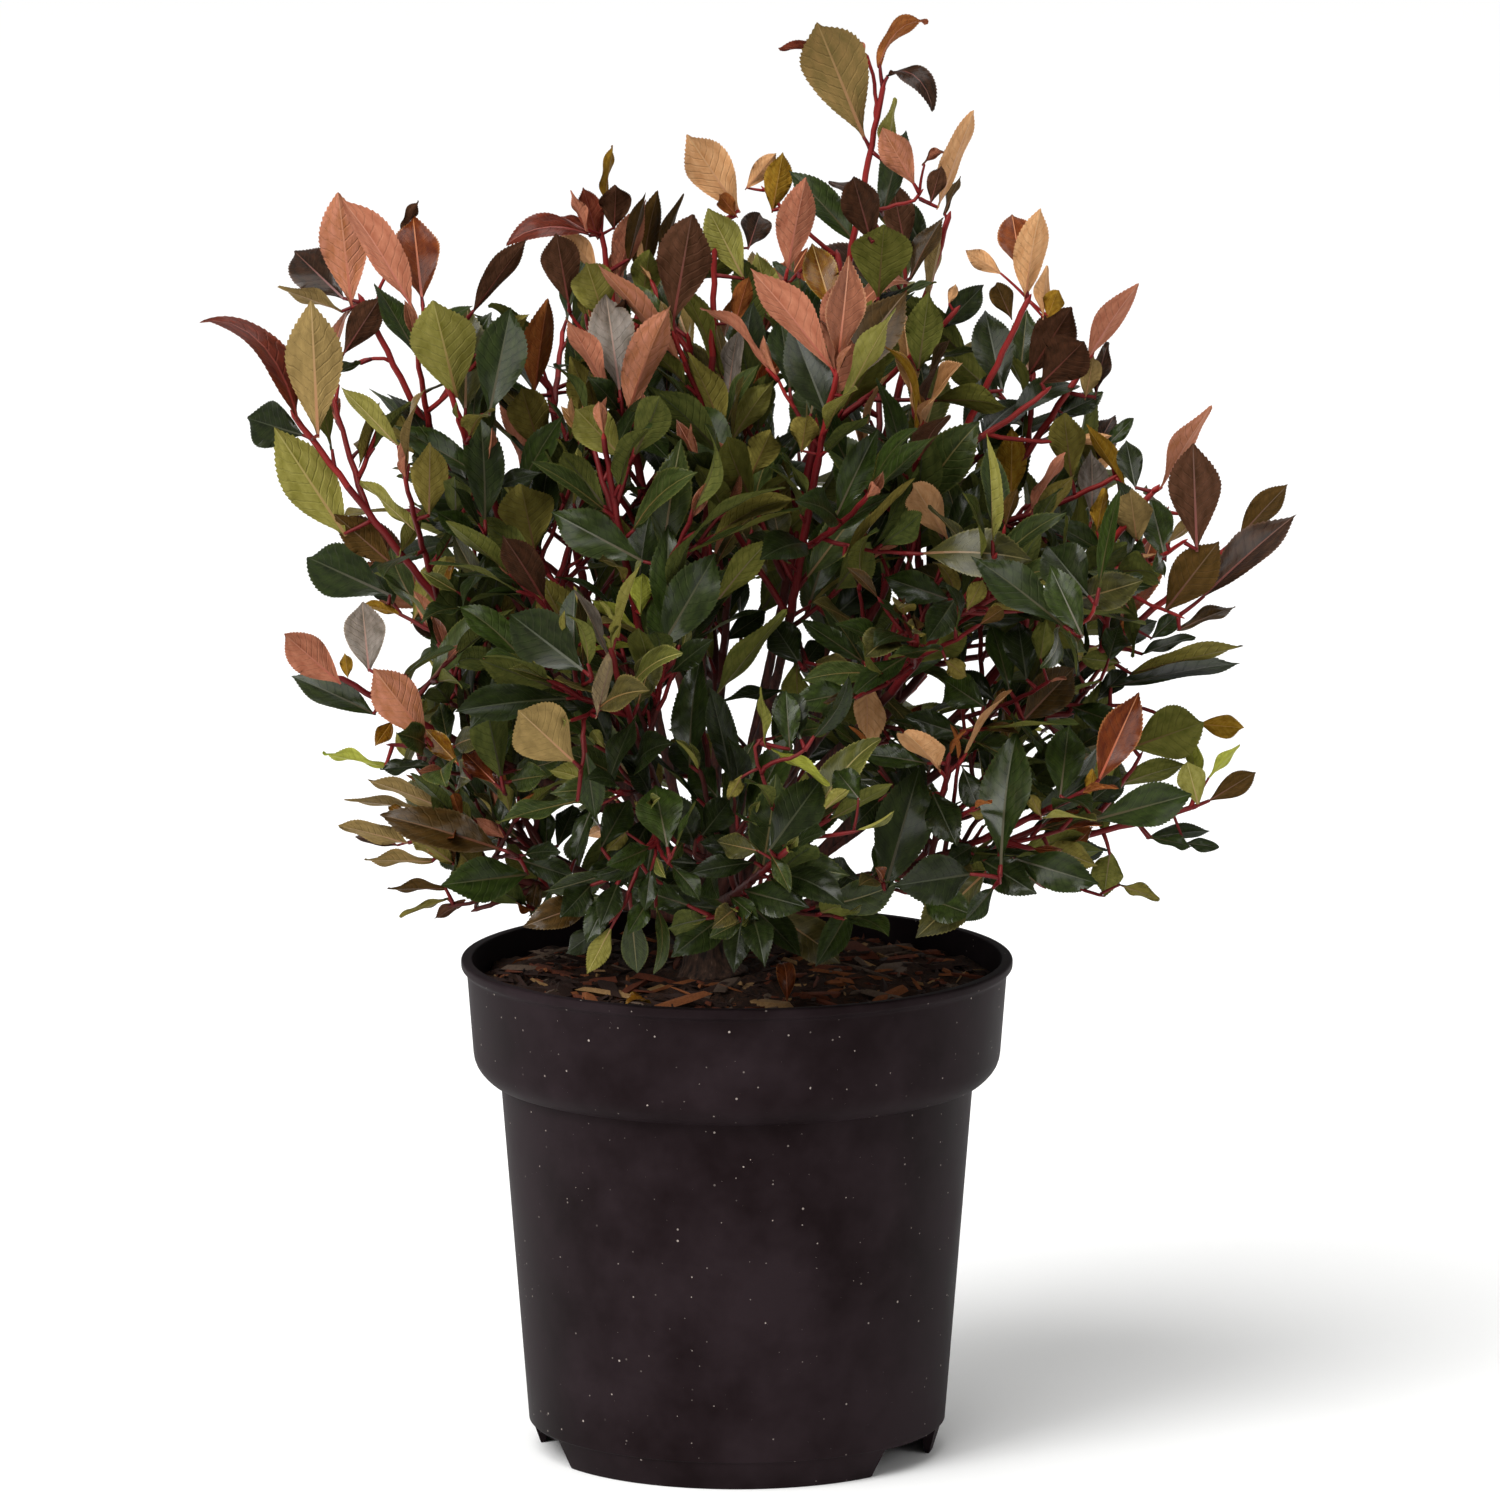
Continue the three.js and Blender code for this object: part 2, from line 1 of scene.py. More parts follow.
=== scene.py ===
import bpy
import json
import math
import numpy as np
from collections import namedtuple
from mathutils import Matrix, Vector, noise
from mathutils.bvhtree import BVHTree

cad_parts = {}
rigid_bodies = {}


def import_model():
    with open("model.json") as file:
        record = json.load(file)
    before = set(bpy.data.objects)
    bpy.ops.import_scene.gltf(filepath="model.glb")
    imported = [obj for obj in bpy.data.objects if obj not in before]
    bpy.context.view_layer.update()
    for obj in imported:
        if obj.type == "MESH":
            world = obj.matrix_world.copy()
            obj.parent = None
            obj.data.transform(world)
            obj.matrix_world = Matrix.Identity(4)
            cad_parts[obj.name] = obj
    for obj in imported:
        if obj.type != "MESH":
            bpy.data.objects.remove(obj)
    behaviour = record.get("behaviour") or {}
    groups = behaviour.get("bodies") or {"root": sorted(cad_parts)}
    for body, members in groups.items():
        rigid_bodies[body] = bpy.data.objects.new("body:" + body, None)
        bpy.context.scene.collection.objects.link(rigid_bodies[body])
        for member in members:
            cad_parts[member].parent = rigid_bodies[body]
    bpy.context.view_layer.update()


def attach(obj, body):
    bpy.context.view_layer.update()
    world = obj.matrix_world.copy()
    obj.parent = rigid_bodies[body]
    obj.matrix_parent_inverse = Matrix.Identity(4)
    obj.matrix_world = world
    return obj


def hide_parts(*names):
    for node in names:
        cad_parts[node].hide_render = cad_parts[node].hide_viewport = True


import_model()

# The camera
# It stands 4 m in front of the pot and looks down on it by ten degrees through a long lens, so the
# rim shows as a flat ellipse and the crown is seen almost square on.
CAMERA_PLACE = Vector((0.0045, -4.0, 0.9464))
CAMERA_AIM = Vector((0.0045, 0.0, 0.2442))
camera_data = bpy.data.cameras.new("camera")
camera_data.sensor_width = 36.0
camera_data.lens = 284.0
camera_data.clip_end = 60.0
camera = bpy.data.objects.new("camera", camera_data)
camera.location = CAMERA_PLACE
camera.rotation_mode = "QUATERNION"
camera.rotation_quaternion = (CAMERA_AIM - CAMERA_PLACE).to_track_quat("-Z", "Y")
bpy.context.scene.collection.objects.link(camera)
bpy.context.scene.camera = camera
bpy.context.scene.view_settings.view_transform = "Standard"


# The studio
# A wide pale paper floor under soft white light: one large softbox high on the left, a weaker one
# on the right, one from above and behind that lights the leaves' edges, and a white ceiling.
FLOOR_RINGS = (700.0, 4000.0, 60000.0)
FLOOR_SIDES = 96
STUDIO_MIDDLE = Vector((0, 0, 0.25))


def linear(colour):
    """An sRGB hex colour as the linear numbers that a shader takes."""
    parts = [int(colour[i : i + 2], 16) / 255 for i in (1, 3, 5)]
    return [c / 12.92 if c <= 0.04045 else ((c + 0.055) / 1.055) ** 2.4 for c in parts] + [1.0]


def new_material(name):
    """A new material, and the function that adds a node to it.

    Each named socket of the node is set to a number or a colour, or is fed by another node.
    """
    material = bpy.data.materials.new(name)
    material.use_nodes = True
    tree = material.node_tree
    tree.nodes.clear()

    def node(kind, sockets=(), **settings):
        made = tree.nodes.new("ShaderNode" + kind)
        for key, value in settings.items():
            setattr(made, key, value)
        for key, value in dict(sockets).items():
            if isinstance(value, bpy.types.Node):
                value = value.outputs[0]
            if isinstance(value, bpy.types.NodeSocket):
                tree.links.new(value, made.inputs[key])
            else:
                made.inputs[key].default_value = value
        return made

    return material, node


def triangles_of(quads):
    quads = np.asarray(quads)
    return np.concatenate([quads[:, [0, 1, 2]], quads[:, [0, 2, 3]]])


def mesh_piece(name, points, triangles, materials, slots=None, sharp=None, maps=()):
    """A smooth mesh object in metres, from points in millimetres and triangles of their numbers."""
    mesh = bpy.data.meshes.new(name)
    triangles = np.asarray(triangles, np.int32)
    mesh.vertices.add(len(points))
    mesh.vertices.foreach_set("co", (np.asarray(points, float) / 1000).astype(np.float32).ravel())
    mesh.loops.add(triangles.size)
    mesh.loops.foreach_set("vertex_index", triangles.ravel())
    mesh.polygons.add(len(triangles))
    mesh.polygons.foreach_set("loop_start", np.arange(0, triangles.size, 3, dtype=np.int32))
    if slots is not None:
        mesh.polygons.foreach_set("material_index", np.asarray(slots, np.int32))
    for material in materials:
        mesh.materials.append(material)
    for map_name, places in maps:
        layer = mesh.uv_layers.new(name=map_name, do_init=False)
        layer.uv.foreach_set("vector", np.asarray(places, np.float32).ravel())
    mesh.update(calc_edges=True)
    mesh.polygons.foreach_set("use_smooth", np.ones(len(triangles), bool))
    if callable(sharp):
        ends = np.empty(len(mesh.edges) * 2, np.int32)
        mesh.edges.foreach_get("vertices", ends)
        mesh.edges.foreach_set("use_edge_sharp", sharp(ends.reshape(-1, 2)))
    elif sharp is not None:
        mesh.set_sharp_from_angle(angle=math.radians(sharp))
    made = bpy.data.objects.new(name, mesh)
    bpy.context.scene.collection.objects.link(made)
    return made


def pointing(name, data, way):
    """A lamp that shines along a direction."""
    lamp = bpy.data.objects.new(name, data)
    lamp.rotation_mode = "QUATERNION"
    lamp.rotation_quaternion = way.to_track_quat("-Z", "Y")
    bpy.context.scene.collection.objects.link(lamp)
    return lamp


paper, node = new_material("matt_white_paper")
matt = node("BsdfPrincipled", {"Base Color": linear("#fefefd"), "Roughness": 0.9})
node("OutputMaterial", {"Surface": matt})
turn = np.linspace(0, 2 * math.pi, FLOOR_SIDES + 1)[:-1]
rings = [(r * np.cos(turn), r * np.sin(turn), 0 * turn) for r in FLOOR_RINGS]
floor_points = np.concatenate([[[0, 0, 0]]] + [np.stack(ring, 1) for ring in rings])
around = np.arange(FLOOR_SIDES)
following = (around + 1) % FLOOR_SIDES
floor_faces = [np.stack([0 * around, 1 + around, 1 + following], 1)]
for ring in range(len(FLOOR_RINGS) - 1):
    near, far = 1 + FLOOR_SIDES * ring, 1 + FLOOR_SIDES * (ring + 1)
    quads = np.stack([near + around, far + around, far + following, near + following], 1)
    floor_faces.append(triangles_of(quads))
floor = mesh_piece("studio_floor", floor_points, np.concatenate(floor_faces), [paper])

world = bpy.data.worlds.new("studio_air")
world.use_nodes = True
world.node_tree.nodes["Background"].inputs["Color"].default_value = linear("#fbfbfb")
world.node_tree.nodes["Background"].inputs["Strength"].default_value = 0.32
bpy.context.scene.world = world
for name, place, size, power in (
    ("softbox_left", (-2.3, -2.6, 2.6), 1.6, 67.0),
    ("softbox_right", (2.8, -1.9, 1.8), 1.4, 16.0),
    ("softbox_above", (0.3, 1.2, 3.0), 1.8, 23.0),
):
    softbox = bpy.data.lights.new(name, "AREA")
    softbox.size = size
    softbox.energy = power
    lamp = pointing(name, softbox, STUDIO_MIDDLE - Vector(place))
    lamp.location = place
    lamp.visible_camera = False
ceiling = bpy.data.lights.new("white_ceiling", "SUN")
ceiling.energy = 2.65
ceiling.angle = math.radians(50)
pointing("white_ceiling", ceiling, Vector((0.45, 0.6, -1.0)))


# The pot
# A 3 litre nursery pot, injection moulded in black polypropylene: a tapering body, a wider collar
# with a lip for lifting, and a foot ring that three drain notches cut. It stands loose.
POT_HEIGHT = 172.0
COLLAR_FOOT = 130.0
FOOT_HEIGHT = 10.0
FOOT_RADIUS = 68
POT_SIDES = 256
NOTCH_CENTRES = (-164, -30, 83)
NOTCH_ANGLE = 30
NOTCH_HEIGHT = 9.4
# Each corner of the wall in section: radius, height and how far from the corner its rounding starts
POT_SECTION = (
    (0, FOOT_HEIGHT, 0),
    (65.2, FOOT_HEIGHT, 0.8),
    (66.5, 0, 0.4),
    (FOOT_RADIUS, 0, 0.5),
    (70.9, 9.3, 0.3),
    (71.2, FOOT_HEIGHT, 0.2),
    (72, 10.2, 0.3),
    (81.5, COLLAR_FOOT, 0.7),
    (85.2, COLLAR_FOOT + 0.2, 1.6),
    (90.5, COLLAR_FOOT + 5.2, 4.2),
    (93, POT_HEIGHT - 4.4, 0.9),
    (94.9, POT_HEIGHT - 3.0, 0.7),
    (95, POT_HEIGHT - 0.5, 0.6),
    (94.4, POT_HEIGHT, 0.4),
    (91.2, POT_HEIGHT, 0.6),
    (88.7, COLLAR_FOOT + 6, 3),
    (80.7, COLLAR_FOOT + 1.8, 1.5),
    (70.2, FOOT_HEIGHT + 5.2, 2),
    (67.2, FOOT_HEIGHT + 2.2, 2),
    (0, FOOT_HEIGHT + 2.2, 0),
)


def rounded(section):
    """The section's line with an arc in place of each corner."""
    line = [np.array(section[0][:2], float)]
    for before, corner, after in zip(section, section[1:], section[2:]):
        here = np.array(corner[:2], float)
        ways = [np.array(end[:2], float) - here for end in (before, after)]
        start, end = [here + way * corner[2] / np.linalg.norm(way) for way in ways]
        for share in np.linspace(0, 1, 5):
            line.append((1 - share) ** 2 * start + 2 * share * (1 - share) * here + share**2 * end)
    return np.array(line + [np.array(section[-1][:2], float)])


def lathed(line, sides):
    """Points and triangles of a line of [radius, height] turned about the pot's axis, ends on it."""
    turn = np.arange(sides) * 2 * math.pi / sides
    rows = [np.stack([r * np.cos(turn), r * np.sin(turn), np.full(sides, z)], 1) for r, z in line[1:-1]]
    points = np.concatenate([[[0, 0, line[0][1]]], *rows, [[0, 0, line[-1][1]]]])
    here = np.arange(sides)
    after = (here + 1) % sides
    faces = [np.stack([0 * here, 1 + after, 1 + here], 1)]
    for row in range(len(rows) - 1):
        low, high = 1 + row * sides, 1 + (row + 1) * sides
        faces.append(triangles_of(np.stack([low + here, low + after, high + after, high + here], 1)))
    last, end = 1 + (len(rows) - 1) * sides, len(points) - 1
    faces.append(np.stack([last + here, last + after, 0 * here + end], 1))
    return points, np.concatenate(faces)


# Moulded polypropylene is a soft satin black: broad dull highlights, a warm cast, dust in small pale
# specks and large faint smudges where it was handled
polypropylene, node = new_material("moulded_black_polypropylene")
place = node("TexCoord").outputs["Object"]
# Handling marks are 30 to 60 mm across
smudge = node("TexNoise", {"Vector": place, "Scale": 22.0, "Detail": 4.0, "Roughness": 0.6})
satin = node("MapRange", {"Value": smudge, 1: 0.35, 2: 0.68, 3: 0.5, 4: 0.64})
marks = node("MapRange", {"Value": smudge, 1: 0.36, 2: 0.62, 3: 0.0, 4: 1.0})
black = node("Mix", {"Factor": marks, 6: linear("#140d0f"), 7: linear("#251d20")}, data_type="RGBA")
# One cell of 2.5 mm in four may carry a speck of up to 0.8 mm
cell = node("TexVoronoi", {"Vector": place, "Scale": 400.0, "Randomness": 1.0})
chance = node("SeparateColor", {"Color": cell.outputs["Color"]})
reach = node("MapRange", {"Value": chance, 1: 0.72, 2: 1.0, 3: 0.02, 4: 0.16})
inside = node("Math", {0: cell.outputs["Distance"], 1: reach}, operation="LESS_THAN")
faint = node("Math", {0: inside, 1: chance.outputs[1]}, operation="MULTIPLY")
dusty = node("Mix", {"Factor": faint, 6: black.outputs[2], 7: linear("#a89c94")}, data_type="RGBA")
# The mould's fine spark-eroded grain, 0.5 mm across
grain = node("TexNoise", {"Vector": place, "Scale": 1900.0, "Detail": 2.0})
relief = node("Bump", {"Height": grain, "Strength": 0.1, "Distance": 0.0002})
moulded = node(
    "BsdfPrincipled",
    {
        "Base Color": dusty.outputs[2],
        "Roughness": satin,
        "IOR": 1.49,
        "Specular IOR Level": 0.05,
        "Specular Tint": linear("#ffdcd8"),
        "Normal": relief,
    },
)
node("OutputMaterial", {"Surface": moulded})

pot_points, pot_faces = lathed(rounded(POT_SECTION), POT_SIDES)
pot = mesh_piece("nursery_pot", pot_points, pot_faces, [polypropylene])
for number, centre in enumerate(NOTCH_CENTRES):
    half = FOOT_RADIUS * math.sin(math.radians(NOTCH_ANGLE / 2))
    outline = [(-half - 3, -1), (half + 3, -1), (half, NOTCH_HEIGHT), (-half, NOTCH_HEIGHT)]
    corners = np.array([(x, y, z) for y in (-FOOT_RADIUS - 24, -FOOT_RADIUS + 16) for x, z in outline])
    spin = math.radians(centre + 90)
    turned = np.array([[math.cos(spin), math.sin(spin)], [-math.sin(spin), math.cos(spin)]])
    corners[:, :2] = corners[:, :2] @ turned
    sides = [(0, 1, 2, 3), (7, 6, 5, 4), (0, 4, 5, 1), (1, 5, 6, 2), (2, 6, 7, 3), (3, 7, 4, 0)]
    cutter = mesh_piece(f"notch_{number}", corners, triangles_of(sides), [])
    cut = pot.modifiers.new("notch", "BOOLEAN")
    cut.operation = "DIFFERENCE"
    cut.solver = "EXACT"
    cut.object = cutter
    bpy.context.view_layer.update()
    shaped = bpy.data.meshes.new_from_object(pot.evaluated_get(bpy.context.evaluated_depsgraph_get()))
    pot.modifiers.clear()
    pot.data = shaped
    bpy.data.objects.remove(cutter)
pot.data.set_sharp_from_angle(angle=math.radians(24))
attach(pot, "root")
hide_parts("pot")


# The potting mix
# Dark moist peat with shredded pine bark, poured to a finger's width under the rim: a crumbly top
# on which flakes, splinters and fibres lie every way.
SOIL_TOP = 165.0
MIX_LEVEL = 162.5
MIX_EDGE = 90.0
MIX_SIDES = 220
MOUND_HEIGHT, MOUND_RADIUS = 2.5, 93.0
TRUNK_X, TRUNK_Y = -9.0, 4.0
TRUNK_ROOM = 17
# The first bits of bark are slabs, most are small, and the last are long thin shreds
BITS, SLABS, FIRST_SHRED = 1050, 84, 801
SLAB_LENGTHS, BIT_LENGTHS, SHRED_LENGTHS = (16, 34), (3, 17), (14, 30)
SLAB_BREADTHS, BIT_BREADTHS, SHRED_BREADTHS = (0.13, 0.3), (0.8, 3.4), (0.7, 1.5)
SLAB_THICKNESSES, BIT_THICKNESSES = (1.2, 2.4), (0.4, 1.3)
# No bit's middle lies nearer to the trunk's than this and half its own length
TRUNK_CLEARANCE = 13


def mix_height(x, y):
    """The mix's level at a place: a low mound, flat under the plant."""
    mound = MOUND_HEIGHT * (1 - (x * x + y * y) / MOUND_RADIUS**2)
    waves = math.sin(x * 0.16 + 1.3) * math.cos(y * 0.19 - 0.4) + 0.6 * math.sin(x * 0.31 - y * 0.27)
    from_trunk = math.hypot(x - TRUNK_X, y - TRUNK_Y) / TRUNK_ROOM
    free = min(1, max(0, from_trunk - 1))
    free = free * free * (3 - 2 * free)
    return SOIL_TOP + (MIX_LEVEL + mound + 1.1 * waves - SOIL_TOP) * free


def crumbled(x, y):
    """The same with its crumbs of 2 to 8 mm."""
    crumbs = noise.fractal(Vector((x * 0.16, y * 0.16, 3.0)), 0.9, 2.2, 4)
    return mix_height(x, y) + 2.0 * crumbs


# The mix fills the pot, just clear of its floor and wall
mix_line = [(0, 12.5), (64.9, 12.5), (68.1, 15.3), (80.3, 132.1), (87.3, 136.3)]
mix_line += [(MIX_EDGE - 0.6, MIX_LEVEL - 2)]
mix_line += [(MIX_EDGE * share, MIX_LEVEL) for share in np.linspace(1, 0.012, 62) ** 0.8]
mix_line += [(0, MIX_LEVEL)]
mix_points, mix_faces = lathed(np.array(mix_line), MIX_SIDES)
# Without a seed of its own Blender's noise vector follows the clock
noise.seed_set(41)
for point in mix_points:
    if point[2] > MIX_LEVEL - 1.5:
        wobble = 0.5 * noise.noise_vector(Vector(point * 0.4))
        point[:2] += np.array(wobble[:2]) * (math.hypot(point[0], point[1]) < MIX_EDGE - 3)
        point[2] = crumbled(point[0], point[1])

# Peat is matt and nearly black where it is wet, with brown fibres that catch the light
peat, node = new_material("moist_peat")
place = node("TexCoord").outputs["Object"]
fibres = node(
    "TexNoise",
    {"Vector": place, "Scale": 420.0, "Detail": 6.0, "Roughness": 0.7, "Distortion": 1.2},
)
brown = node("ValToRGB", {"Fac": fibres})
brown.color_ramp.elements[0].position = 0.35
brown.color_ramp.elements[0].color = linear("#0d0908")
brown.color_ramp.elements[1].position = 0.72
brown.color_ramp.elements[1].color = linear("#4a2f20")
lumps = node("Bump", {"Height": fibres, "Strength": 0.8, "Distance": 0.0012})
crumbly = node(
    "BsdfPrincipled",
    {"Base Color": brown, "Roughness": 0.92, "Specular IOR Level": 0.25, "Normal": lumps},
)
node("OutputMaterial", {"Surface": crumbly})
mix = mesh_piece("peat_bed", mix_points, mix_faces, [peat])
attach(mix, "root")
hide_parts("potting_mix")


def pine_bark(name, dark, light, rough):
    """Shredded pine bark: matt, with a grain of fine light and dark threads."""
    material, node = new_material(name)
    place = node("TexCoord").outputs["Object"]
    # Threads are 0.6 mm apart
    threads = node("TexNoise", {"Vector": place, "Scale": 700.0, "Detail": 4.0, "Distortion": 2.0})
    tone = node("Mix", {"Factor": threads, 6: linear(dark), 7: linear(light)}, data_type="RGBA")
    ridges = node("Bump", {"Height": threads, "Strength": 0.5, "Distance": 0.0005})
    torn = node(
        "BsdfPrincipled",
        {"Base Color": tone.outputs[2], "Roughness": rough, "Specular IOR Level": 0.3, "Normal": ridges},
    )
    node("OutputMaterial", {"Surface": torn})
    return material


barks = [
    pine_bark("wet_pine_bark", "#160c09", "#372016", 0.8),
    pine_bark("red_pine_bark", "#3e1c11", "#773d25", 0.85),
    pine_bark("fresh_pine_bark", "#5a2f19", "#985b31", 0.85),
    pine_bark("grey_pine_bark", "#3a2e27", "#7a6656", 0.9),
    pine_bark("dry_straw_fibre", "#6b4c2c", "#a98557", 0.8),
]
# How many of a hundred slabs, and of a hundred smaller bits, are of each bark
SLAB_SHARES = (0.36, 0.3, 0.12, 0.18, 0.04)
BIT_SHARES = (0.56, 0.18, 0.09, 0.1, 0.07)
random = np.random.default_rng(41)
chip_points, chip_faces, chip_slots = [], [], []
count = 0
for number in range(BITS):
    bearing = random.uniform(0, 2 * math.pi)
    out = (MIX_EDGE - 2) * math.sqrt(random.uniform(0.01, 1))
    slab = number < SLABS
    shred = number >= FIRST_SHRED
    length = random.uniform(*(SLAB_LENGTHS if slab else BIT_LENGTHS))
    if not slab:
        length *= random.uniform(0.6, 1)
    if shred:
        length = random.uniform(*SHRED_LENGTHS)
    # A slab's breadth is a share of its length
    broad = length * random.uniform(*SLAB_BREADTHS) if slab else random.uniform(*BIT_BREADTHS)
    if shred:
        broad = random.uniform(*SHRED_BREADTHS)
    thick = random.uniform(*(SLAB_THICKNESSES if slab else BIT_THICKNESSES))
    out = min(out, MIX_EDGE - 2.5 - length / 2 * 0.9)
    x, y = out * math.cos(bearing), out * math.sin(bearing)
    if math.hypot(x - TRUNK_X, y - TRUNK_Y) < TRUNK_CLEARANCE + length / 2:
        continue
    # Six corners round the top and six round the foot, each moved a little, and a middle for each
    around = np.linspace(0, 2 * math.pi, 7)[:-1] + random.uniform(-0.3, 0.3, 6)
    rim = np.stack([np.cos(around) * length / 2, np.sin(around) * broad / 2], 1)
    rim *= random.uniform(0.7, 1.15, (6, 1))
    crown = np.column_stack([rim * 0.8, np.full(6, thick / 2)]) + random.uniform(-0.25, 0.25, (6, 3))
    foot = np.column_stack([rim, np.full(6, -thick / 2)])
    shape = np.concatenate([crown, foot, [[0, 0, thick * 0.62]], [[0, 0, -thick / 2]]])
    shape[:, 2] += random.uniform(-0.02, 0.02) * shape[:, 0] ** 2 * 4 / length
    tilt = Matrix.Rotation(random.uniform(0, 2 * math.pi), 3, "Z")
    tilt = tilt @ Matrix.Rotation(random.normal(0, 0.3), 3, "X")
    tilt = tilt @ Matrix.Rotation(random.normal(0, 0.16), 3, "Y")
    shape = shape @ np.array(tilt).T + np.array([x, y, crumbled(x, y) + thick * 0.3])
    six = np.arange(6)
    on = (six + 1) % 6
    faces = np.concatenate(
        [
            np.stack([six, on, 0 * six + 12], 1),
            triangles_of(np.stack([six + 6, on + 6, on, six], 1)),
            np.stack([on + 6, six + 6, 0 * six + 13], 1),
        ]
    )
    tone = random.choice(5, p=SLAB_SHARES if slab else BIT_SHARES)
    chip_points.append(shape)
    chip_faces.append(faces + count)
    chip_slots.append(np.full(len(faces), tone))
    count += len(shape)
chips = mesh_piece(
    "pine_bark_chips",
    np.concatenate(chip_points),
    np.concatenate(chip_faces),
    barks,
    np.concatenate(chip_slots),
    sharp=35,
)
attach(chips, "root")
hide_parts("potting_mix")


# The limbs
# A short woody stool from which fourteen boughs rise and fourteen more fork. Their brown bark is
# finely furrowed and ringed by old leaf scars. Each limb follows one curve from its foot to its tip.
UP = np.array([0.0, 0.0, 1.0])
TRUNK_HEIGHT, TRUNK_LEAN = 34.0, 4.0
TRUNK_ROWS = 45
# A limb is bare over this share of its curve
BARE_SHARE = 0.38
# Its radius at its foot, the same where it forks from another limb, and where its bare part ends
BOUGH_RADIUS, FORKED_RADIUS, STEM_RADIUS = 2.5, 2.1, 1.45
SCAR_SPACING = 13.0
# Where a limb is forked from another it names it, with the share of that one's bare length. The turn
# is its first twig's bearing
Limb = namedtuple("Limb", "name bearing reach height parent share turn hues")
# Of the hues, the grey one is a dark waxy leaf whose glossy sheen is painted into its colour
LIMBS = (
    ("leader", 6, 50, 472, None, 0, 20, "olive_tan ember plum salmon salmon"),
    ("far_left", 187, 161, 376, None, 0, 150, "salmon ember olive_tan pale plum"),
    ("high_left", 176, 132, 406, None, 0, 20, "salmon salmon plum ember plum"),
    ("centre", 200, 8, 426, None, 0, 80, "tan salmon tan pale green"),
    ("high_right", 352, 100, 402, None, 0, 300, "tan tan gold plum olive_tan"),
    ("far_right", 0, 166, 313, None, 0, 60, "ember plum ember pale green"),
    ("low_right", 354, 156, 227, None, 0, 30, "pale ember green pale green"),
    ("low_left", 192, 108, 213, None, 0, 40, "ember plum tan green green"),
    ("front_left", 250, 122, 298, None, 0, 200, "pale tan dusk pale green"),
    ("front_low", 277, 136, 234, None, 0, 30, "green green pale green green"),
    ("back_centre", 84, 106, 391, None, 0, 10, "salmon plum olive_tan ember pale"),
    ("back_left", 137, 130, 320, None, 0, 100, "plum salmon green pale green"),
    ("back_right", 32, 142, 325, None, 0, 40, "tan plum green pale green"),
    ("front_right", 322, 146, 245, None, 0, 260, "ember tan green pale green"),
    ("left_middle", 195, 104, 380, "high_left", 0.55, 330, "pale olive_tan green green plum"),
    ("left_side", 197, 140, 276, "far_left", 0.5, 30, "salmon tan plum gold green"),
    ("high_centre_left", 158, 50, 420, "centre", 0.6, 170, "plum salmon plum ember pale"),
    ("front_high_left", 238, 84, 363, "front_left", 0.45, 130, "salmon salmon dusk plum pale"),
    ("front_high", 294, 82, 384, "leader", 0.5, 60, "salmon umber salmon pale green"),
    ("right_upper", 9, 126, 383, "high_right", 0.55, 20, "tan tan plum pale green"),
    ("right_shoulder", 350, 148, 343, "far_right", 0.5, 280, "salmon plum tan olive_tan green"),
    ("front_right_high", 314, 128, 330, "high_right", 0.4, 340, "umber pale green green green"),
    ("back_high_left", 135, 100, 398, "back_left", 0.5, 220, "salmon plum ember pale green"),
    ("back_high_right", 40, 98, 427, "back_right", 0.5, 120, "salmon tan plum pale green"),
    ("back_low_left", 118, 134, 234, "back_left", 0.32, 320, "tan green pale green green"),
    ("back_low_right", 62, 134, 246, "back_centre", 0.3, 230, "ember green pale green green"),
    ("left_low_back", 163, 138, 245, "low_left", 0.4, 80, "pale lime tan green green"),
    ("back_middle", 96, 112, 313, "back_centre", 0.5, 200, "salmon plum green pale green"),
)
LIMBS = [Limb(*limb) for limb in LIMBS]


def seeded(seed):
    """The same run of numbers from 0 to 1 as the solids take, from a whole-number seed."""
    state = (seed * 2654435761) % 4294967296
    while True:
        state = (state * 1664525 + 1013904223) % 4294967296
        yield state / 4294967296


def unit(way):
    return way / np.linalg.norm(way)


def level_way(bearing):
    """The level direction at a bearing."""
    return np.array([math.cos(math.radians(bearing)), math.sin(math.radians(bearing)), 0.0])


def evenly(line, steps):
    """Points at even distances along a line of points."""
    far = np.concatenate([[0], np.cumsum(np.linalg.norm(np.diff(line, axis=0), axis=1))])
    at = np.linspace(0, far[-1], steps + 1)
    return np.stack([np.interp(at, far, line[:, i]) for i in range(3)], 1)


def bezier(*corners):
    """A Bezier curve as 201 even points."""
    share = np.linspace(0, 1, 401)[:, None]
    layers = [np.array(corner)[None, :] for corner in corners]
    while len(layers) > 1:
        layers = [a * (1 - share) + b * share for a, b in zip(layers, layers[1:])]
    return evenly(layers[0], 200)


def point_at(line, share):
    at = share * (len(line) - 1)
    return np.array([np.interp(at, np.arange(len(line)), line[:, i]) for i in range(3)])


def heading(line, share):
    return unit(point_at(line, min(1, share + 0.01)) - point_at(line, max(0, share - 0.01)))


def stretch(line, start, end):
    return np.array([point_at(line, start + (end - start) * share) for share in np.linspace(0, 1, 61)])


def length_of(line):
    return float(np.linalg.norm(np.diff(line, axis=0), axis=1).sum())


def trunk_point(share):
    return np.array([TRUNK_X - share * TRUNK_LEAN, TRUNK_Y, SOIL_TOP + 0.3 + share * TRUNK_HEIGHT])


